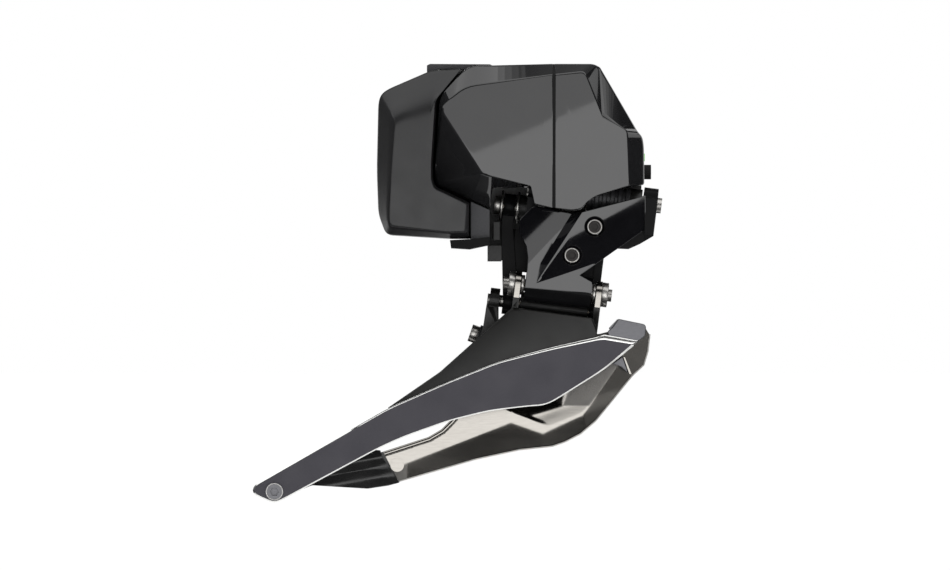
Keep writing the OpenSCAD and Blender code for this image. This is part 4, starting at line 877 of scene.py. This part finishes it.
face = carved(face, [cutter(cone(at, *sizes)) for at in LIMITS for sizes in BORE])
place("link_face", face, ["lacquered_link"], "outer_link", ["outer_link"])
body = carved(merged_copy("outer_link"), [cutter(block((-20, -36, -40), (19.4, LINK_BACK, 0)))])
link = place("link_bosses", body, ["satin_black"], "outer_link")
broken_edge(link, 0.22)

# %% [markdown]
# The outer cage plate is sheet aluminium, blanked and then anodised dark grey. Its edges are milled bright
# after anodising, so the chamfers show bare polished metal: narrow along the tail and wide at the nose.
# The plate is a ring grid again, and the chamfer is the strip between the outline and the same outline moved
# in. Its tail has a hole for the tail screw.

# %% Outer cage plate
PIVOT_C = np.array([-3.79, -30.868])
TAIL = PIVOT_C + (-73.0, -52.7)
PLATE = (-29.3, -27.8)
plate_points = PIVOT_C + np.array([
    (-78, -50.8), (-78.8, -52.4), (-78, -53.6), (-74.5, -55.2), (-72.9, -55.6), (-71.3, -55.1),
    (-45.6, -41.3), (-39.1, -38.4), (-27.2, -34.2), (-17, -31.7), (-6.6, -30.5), (-3.2, -30.3), (-0.6, -29.3),
    (12.4, -21.2), (20.5, -14.7), (21.6, -13.5), (12.7, -11.9), (11, -12.5), (-1.4, -15.3), (-14.9, -19),
    (-28.1, -24.3), (-43.5, -31)])
chamfer = np.array([0.35, 0.35, 0.35, 0.35, 0.35, 0.35, 0.3, 0.3, 0.3, 0.3, 0.3, 0.3, 0.3, 0.35,
                    0.6, 1.15, 1.25, 0.8, 0.6, 0.35, 0.3, 0.35])
plate_corner = np.array([1, 0.9, 1, 1.5, 1, 1.5, 3, 3, 3, 3, 2, 2, 2, 3, 1, 0.4, 0.3, 0.8, 3, 3, 3, 3])
moved_in = plate_points + chamfer[:, None] * (inset(plate_points, 1.0) - plate_points)
bevel_y = round_the_ring(chamfer * np.where(np.arange(len(chamfer)) > 14, 0.58, 1.0))
outer_ring = rounded(plate_points, plate_corner)
front_ring = rounded(moved_in, plate_corner)
side = np.concatenate([
    with_y(front_ring, PLATE[0]), with_y(outer_ring, PLATE[0] + bevel_y),
    with_y(outer_ring, PLATE[1] - 0.1), with_y(rounded(inset(plate_points, 0.1), plate_corner), PLATE[1])])
n = len(outer_ring)
strips = quads(4, n, True)
plate = mesh_from("outer_plate", [
    (side, strips[:n], 1), (side, strips[n:], 0), (side, [ring_face(0, n), ring_face(3, n)], 0)])
plate = carved(plate, [cutter(prism(TAIL + 1.5 * ring, -31, -26))])
place("outer_plate", plate, ["anodised_grey", "bare_aluminium"], "cage", ["cage_outer_plate"])

# %% [markdown]
# The inner cage plate is pressed steel, nickel plated. The press folds its lower half back, sinks a V under
# the carrier and rolls its tail edge into a bead; two panels are blasted, so the chain's marks show less.
# The chamfer along the lower edge is polished.
# It is one grid between its upper and lower edges, and its depth is a sum of simple functions of X and Z.

# %% Inner cage plate
upper = PIVOT_C + np.array([
    (-44.9, -42.5), (-33.1, -38.7), (-29.7, -36.7), (-27.2, -34.2), (-23.2, -29), (-16.7, -19),
    (-12.2, -12.2), (11.5, -11.8), (14.8, -11), (23.5, -10)])
lower = PIVOT_C + np.array([
    (-40.8, -50.5), (-20.7, -44.7), (-9.1, -42.2), (-0.6, -41.3), (2.8, -40.1), (6.8, -38), (10.8, -34.6),
    (20.3, -22.9), (23.4, -20), (24.5, -16.4), (25, -11.9)])
INNER = (-16.4, 1.3)
STEPS = (281, 101)
LOW_CHAMFER = (0.35, 0.33)


def below(p, a, b):
    """Distance of points under the line from a to b, with b to the right of a."""
    u = np.subtract(b, a) / np.linalg.norm(np.subtract(b, a))
    return (p - np.array(a)) @ np.array([u[1], -u[0]])


def soft(d, w=0.5):
    """Zero before a fold and d after it, with a bend about w wide."""
    return (d + np.sqrt(d * d + w * w)) / 2


def near(p, line):
    """Distance to a polyline: the least of the distances to its pieces."""
    best = np.full(p.shape[:-1], 1e9)
    for a, b in zip(line[:-1], line[1:]):
        t = np.clip(((p - a) @ (b - a)) / ((b - a) @ (b - a)), 0, 1)
        best = np.minimum(best, np.linalg.norm(p - (a + t[..., None] * (b - a)), axis=-1))
    return best


def step_up(x, width):
    """Smooth step from 0 to 1 across a width."""
    t = np.clip(x / width + 0.5, 0, 1)
    return t * t * (3 - 2 * t)


def pressed(p):
    """Depth and blasting at X and Z: a fold along five lines, a sunk V with a level floor
    whose upper end drops away, and a bead along the tail edge."""
    fold = np.maximum.reduce([
        np.minimum(below(p, (-44.4, -77.1), (-15.3, -65.7)), below(p, (-15.3, -65.7), (-7, -68.6))),
        below(p, (-7, -68.6), (3.4, -63.6)), 1.35 * below(p, (3.4, -63.6), (12.3, -51)),
        1.35 * below(p, (12.3, -51), (17.5, -41.5))])
    sunk = step_up(-below(p, (-16.9, -62.1), (-7.3, -66.2)) - 0.45, 0.9)
    sunk = sunk * step_up(-below(p, (-7.3, -66.2), (3.6, -62.4)) - 0.5, 4.0)
    floor_end = np.minimum(-below(p, (-16, -65.55), (-3.6, -61.8)), -1.9 - p[..., 0])
    dent = sunk * (0.4 + 0.4 * soft(floor_end, 0.3))
    bead = np.clip(1 - ((near(p, upper[:5]) - 0.7) / 0.7) ** 2, 0, None) ** 0.5
    depth = INNER[0] + 0.25 * soft(fold) + dent - 0.5 * bead
    tail = step_up(-42.8 - p[..., 0], 2.0) * step_up(fold - 0.3, 0.8)
    nose = step_up(p[..., 0] + 1.6 - 0.4 * (p[..., 1] + 61), 0.8) * step_up(0.2 - fold, 0.8)
    nose = nose * step_up(p[..., 1] + 61.4, 0.5)
    return depth, np.maximum(tail, nose)


top_edge, low_edge = along(upper, STEPS[0]), along(lower, STEPS[0])
heading = np.gradient(low_edge, axis=0)
heading /= np.linalg.norm(heading, axis=1)[:, None]
low_in = low_edge + LOW_CHAMFER[0] * np.stack([-heading[:, 1], heading[:, 0]], 1)
flat = between(top_edge, low_in, STEPS[1], 1.4)
skin_front = with_y(flat, pressed(flat)[0])
low_rim = with_y(low_edge, skin_front[:, -1, 1] + LOW_CHAMFER[1])
bend = 0.9 * skin_front[:, -1] + 0.1 * low_rim
skin_front = np.concatenate([skin_front, bend[:, None], low_rim[:, None]], 1)
skin_back = skin_front + (0, INNER[1], 0)
rim = np.concatenate([
    skin_front[:-1, 0], skin_front[-1, :-1], skin_front[::-1, -1][:-1], skin_front[0, ::-1][:-1]])
n = len(rim)
sheet_quads = quads(*skin_front.shape[:2])
polish = np.zeros(np.subtract(skin_front.shape[:2], 1), int)
polish[:, -1] = 2
roof_points = PIVOT_C + np.array([
    (14.8, -11.1), (16.9, -9.4), (23.5, -10.8), (23.6, -9.9), (23.2, -9.2), (16.4, -7.8), (13.9, -10.4)])
roof = prism(rounded(roof_points, 0.5), -26.6, -15.3)
flange_points = PIVOT_C + np.array([
    (13.5, -11.1), (14.5, -15.5), (19.5, -15), (22.8, -12.7), (23.4, -12.2), (23.6, -9.9), (23.2, -9.2),
    (16.4, -7.8), (14.8, -10.1)])
flange = prism(rounded(flange_points, 0.5), -27.8, -26.45, 0.2)
# The gusset is darker satin nickel. Along its right edge, a strip of the plate's brighter nickel is a painted
# highlight.
gusset = prism([(11.1, -50.4), (13.4, -51.2), (15.5, -53.1), (13.9, -48.55), (13.7, -48.5)], -19.0, -16, 0.2)
gusset_painted_highlight = prism([(15.5, -53.1), (16.3, -53.2), (14.5, -48.6), (13.9, -48.55)], -19.2, -16, 0.1)
inner = mesh_from("inner_plate", [
    (skin_front.reshape(-1, 3), sheet_quads, polish.ravel()), (skin_back.reshape(-1, 3), sheet_quads, 0),
    (np.concatenate([rim, rim + (0, INNER[1], 0)]), quads(2, n, True), 0),
    (*roof, 1), (*flange, 1), (*gusset, 1), (*gusset_painted_highlight, 0)])
spots = np.empty(len(inner.vertices) * 3, np.float32)
inner.vertices.foreach_get("co", spots)
spots = spots.reshape(-1, 3)[:, [0, 2]] / MM
blast = inner.attributes.new("blast", "FLOAT", "POINT")
blast.data.foreach_set("value", pressed(spots)[1].astype(np.float32))
place("inner_plate", inner, ["pressed_nickel", "satin_nickel", "steel"], "cage", ["cage_inner_plate"])

# %% [markdown]
# The cage carrier is milled and anodised black. Its front falls away to the left, ever more steeply, so it
# mirrors the panel near its right end and fades into black towards its tail. The ears round the pivot pin
# are bare steel.
# The front is a grid of rings about one point; the rest is the CAD carrier with its front milled off.

# %% Cage carrier
arm_points = PIVOT_C + np.array([
    (-43.5, -30.9), (-42, -33.6), (-30, -29.6), (-24, -27), (-14.9, -24), (-1.4, -19.3), (10.8, -15.5),
    (10.8, -11), (9.5, -7.6), (-11.2, -4.8), (-30, -21.6)])
ARM = (-27.8, -25.9)
ARM_ROWS = 16
ARM_EDGE = 0.25


def arm_y(p):
    """Depth of the carrier's front: level at its lower right, then falling back towards its upper edge and
    towards its tail, each with the square of the distance."""
    v = np.maximum((p - PIVOT_C - (-43, -33)) @ np.array([-0.333, 0.943]) - 3, 0)
    w = np.maximum((p - PIVOT_C - (9.5, -11)) @ np.array([-0.8, 0.6]) - 14, 0)
    return ARM[0] + 0.0075 * v * v + 0.006 * w * w


edge_ring, arm_ring = rounded(inset(arm_points, ARM_EDGE), 0.6), rounded(arm_points, 0.6)
arm_flat = fan(PIVOT_C + (-8, -14), edge_ring, ARM_ROWS)
arm_grid = np.concatenate([
    with_y(arm_flat, arm_y(arm_flat)).reshape(-1, 3),
    with_y(arm_ring, arm_y(edge_ring) + ARM_EDGE), with_y(arm_ring, ARM[1] + 0.05)])
n = len(arm_ring)
arm_faces = quads(ARM_ROWS + 2, n, True).tolist() + [ring_face(ARM_ROWS + 1, n)]
carrier = mesh_from("carrier_face", [(arm_grid, arm_faces, 0)])
place("carrier_face", carrier, ["matte_black_metal"], "cage", ["cage_carrier"])
milled_off = prism(rounded(inset(arm_points, -0.3), 0.6), -30, ARM[1])
rest = carved(merged_copy("cage_carrier"), [cutter(milled_off)])


def ear_room():
    """One cutter of two boxes round the ears, tipped with the pivots."""
    boxes = [block((a, -28.5, -34.7), (b, -20.3, -27)) for a, b in ((-10.7, -8.9), (10.5, 12.3))]
    return mesh_from("cutter", [(tilted(points), faces, 0) for points, faces in boxes])


ears = carved(rest.copy(), [ear_room()], "INTERSECT")
ears = place("carrier_ears", ears, ["nickel_steel"], "cage")
broken_edge(ears, 0.2)
rest = carved(rest, [ear_room()])
rest = place("carrier_body", rest, ["matte_black_metal"], "cage")
broken_edge(rest, 0.2)

# %% [markdown]
# The skid is moulded nylon with ridges that guide a chain off the tail. Its front is a zigzag across the
# ridges: the flanks look away from the light and only the crests shine. It replaces the flat front of the CAD
# skid.

# %% Skid
skid_points = PIVOT_C + np.array([
    (-45.6, -42.2), (-54, -41.4), (-65.8, -46), (-65.8, -52.2), (-63.4, -51.3), (-48.8, -52.2),
    (-43.5, -51.4), (-40.6, -50.6), (-45.1, -44.1)])
SKID = (-17.0, -16.0)
SKID_ROWS = 40
RIDGE_STEP = 5.0


def skid_y(p):
    """Depth of the skid's front: a rounded zigzag of the distance across the ridges."""
    s = (p - PIVOT_C - (-45, -51.5)) @ np.array([-0.17, 0.985])
    t = np.abs((s / RIDGE_STEP) % 1 - 0.5) * RIDGE_STEP
    return SKID[0] + 0.28 * np.sqrt(t * t + 0.15)


skid_ring = rounded(skid_points, 0.5)
skid_flat = fan(PIVOT_C + (-52, -47), skid_ring, SKID_ROWS)
skid_grid = np.concatenate([
    with_y(skid_flat, skid_y(skid_flat)).reshape(-1, 3), with_y(skid_ring, SKID[1] + 0.05)])
n = len(skid_ring)
skid_faces = quads(SKID_ROWS + 1, n, True).tolist() + [ring_face(SKID_ROWS, n)]
ribbed = mesh_from("skid_face", [(skid_grid, skid_faces, 0)])
place("skid_face", ribbed, ["skid_plastic"], "cage", ["cage_skid"])
cut_front = prism(rounded(inset(skid_points, -0.2), 0.5), -18, SKID[1])
tail = carved(merged_copy("cage_skid"), [cutter(cut_front)])
tail = place("skid_body", tail, ["skid_plastic"], "cage")
broken_edge(tail, 0.25)

# %% [markdown]
# The nose rivet is milled off under the wide chamfer, so its front end is cut back behind the plate's bright
# edge.

# %% Nose rivet
stub = carved(merged_copy("nose_rivet"), [cutter(block((10, -31, -48), (18, -27.7, -40)))])
stub = place("nose_rivet_flush", stub, ["steel"], "cage", ["nose_rivet"])
broken_edge(stub, 0.12)

# %% [markdown]
# The limit screws are blackened and the tail screw is dull nickel. On the edge of each screw's head lies a
# narrow lathe-turned ring, a little rounded, in polished steel far brighter than the screw: a painted
# highlight; its curve also mirrors the panel.

# %% Bright rims of screws: painted highlights
PROFILE = np.array([
    (1.6, -29.64), (1.63, -29.75), (1.7, -29.79), (1.82, -29.79), (1.91, -29.75), (1.97, -29.62),
    (1.6, -29.64)])
painted_highlight_rims = [
    ("upper_limit_screw", LIMITS[0], "upper_limit_screw", (0, 0)),
    ("tail_screw", TAIL, "cage", (0.33, -0.43)),
    ("lower_limit_screw", LIMITS[1], "lower_limit_screw", (0, 0))]
# Each rim is polished steel, far brighter than its screw: a painted highlight, which the rim's curve also
# mirrors from the panel.
for name, at, body, move in painted_highlight_rims:
    rings = np.concatenate([with_y(at + r * ring, y) for r, y in PROFILE + move])
    rim = mesh_from(name + "_rim", [(rings, quads(len(PROFILE), len(ring), True), 0)])
    place(name + "_rim", rim, ["steel"], body)

# %% [markdown]
# Last, the sizes: how much the dressed model's box has grown over the CAD model's box is printed.

# %% Sizes and finish
made_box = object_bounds()
growth = [(b - a) / MM for a, b in zip(cad_box[1] - cad_box[0], made_box[1] - made_box[0])]
print("grown by", np.round(growth, 2).tolist(), "mm")
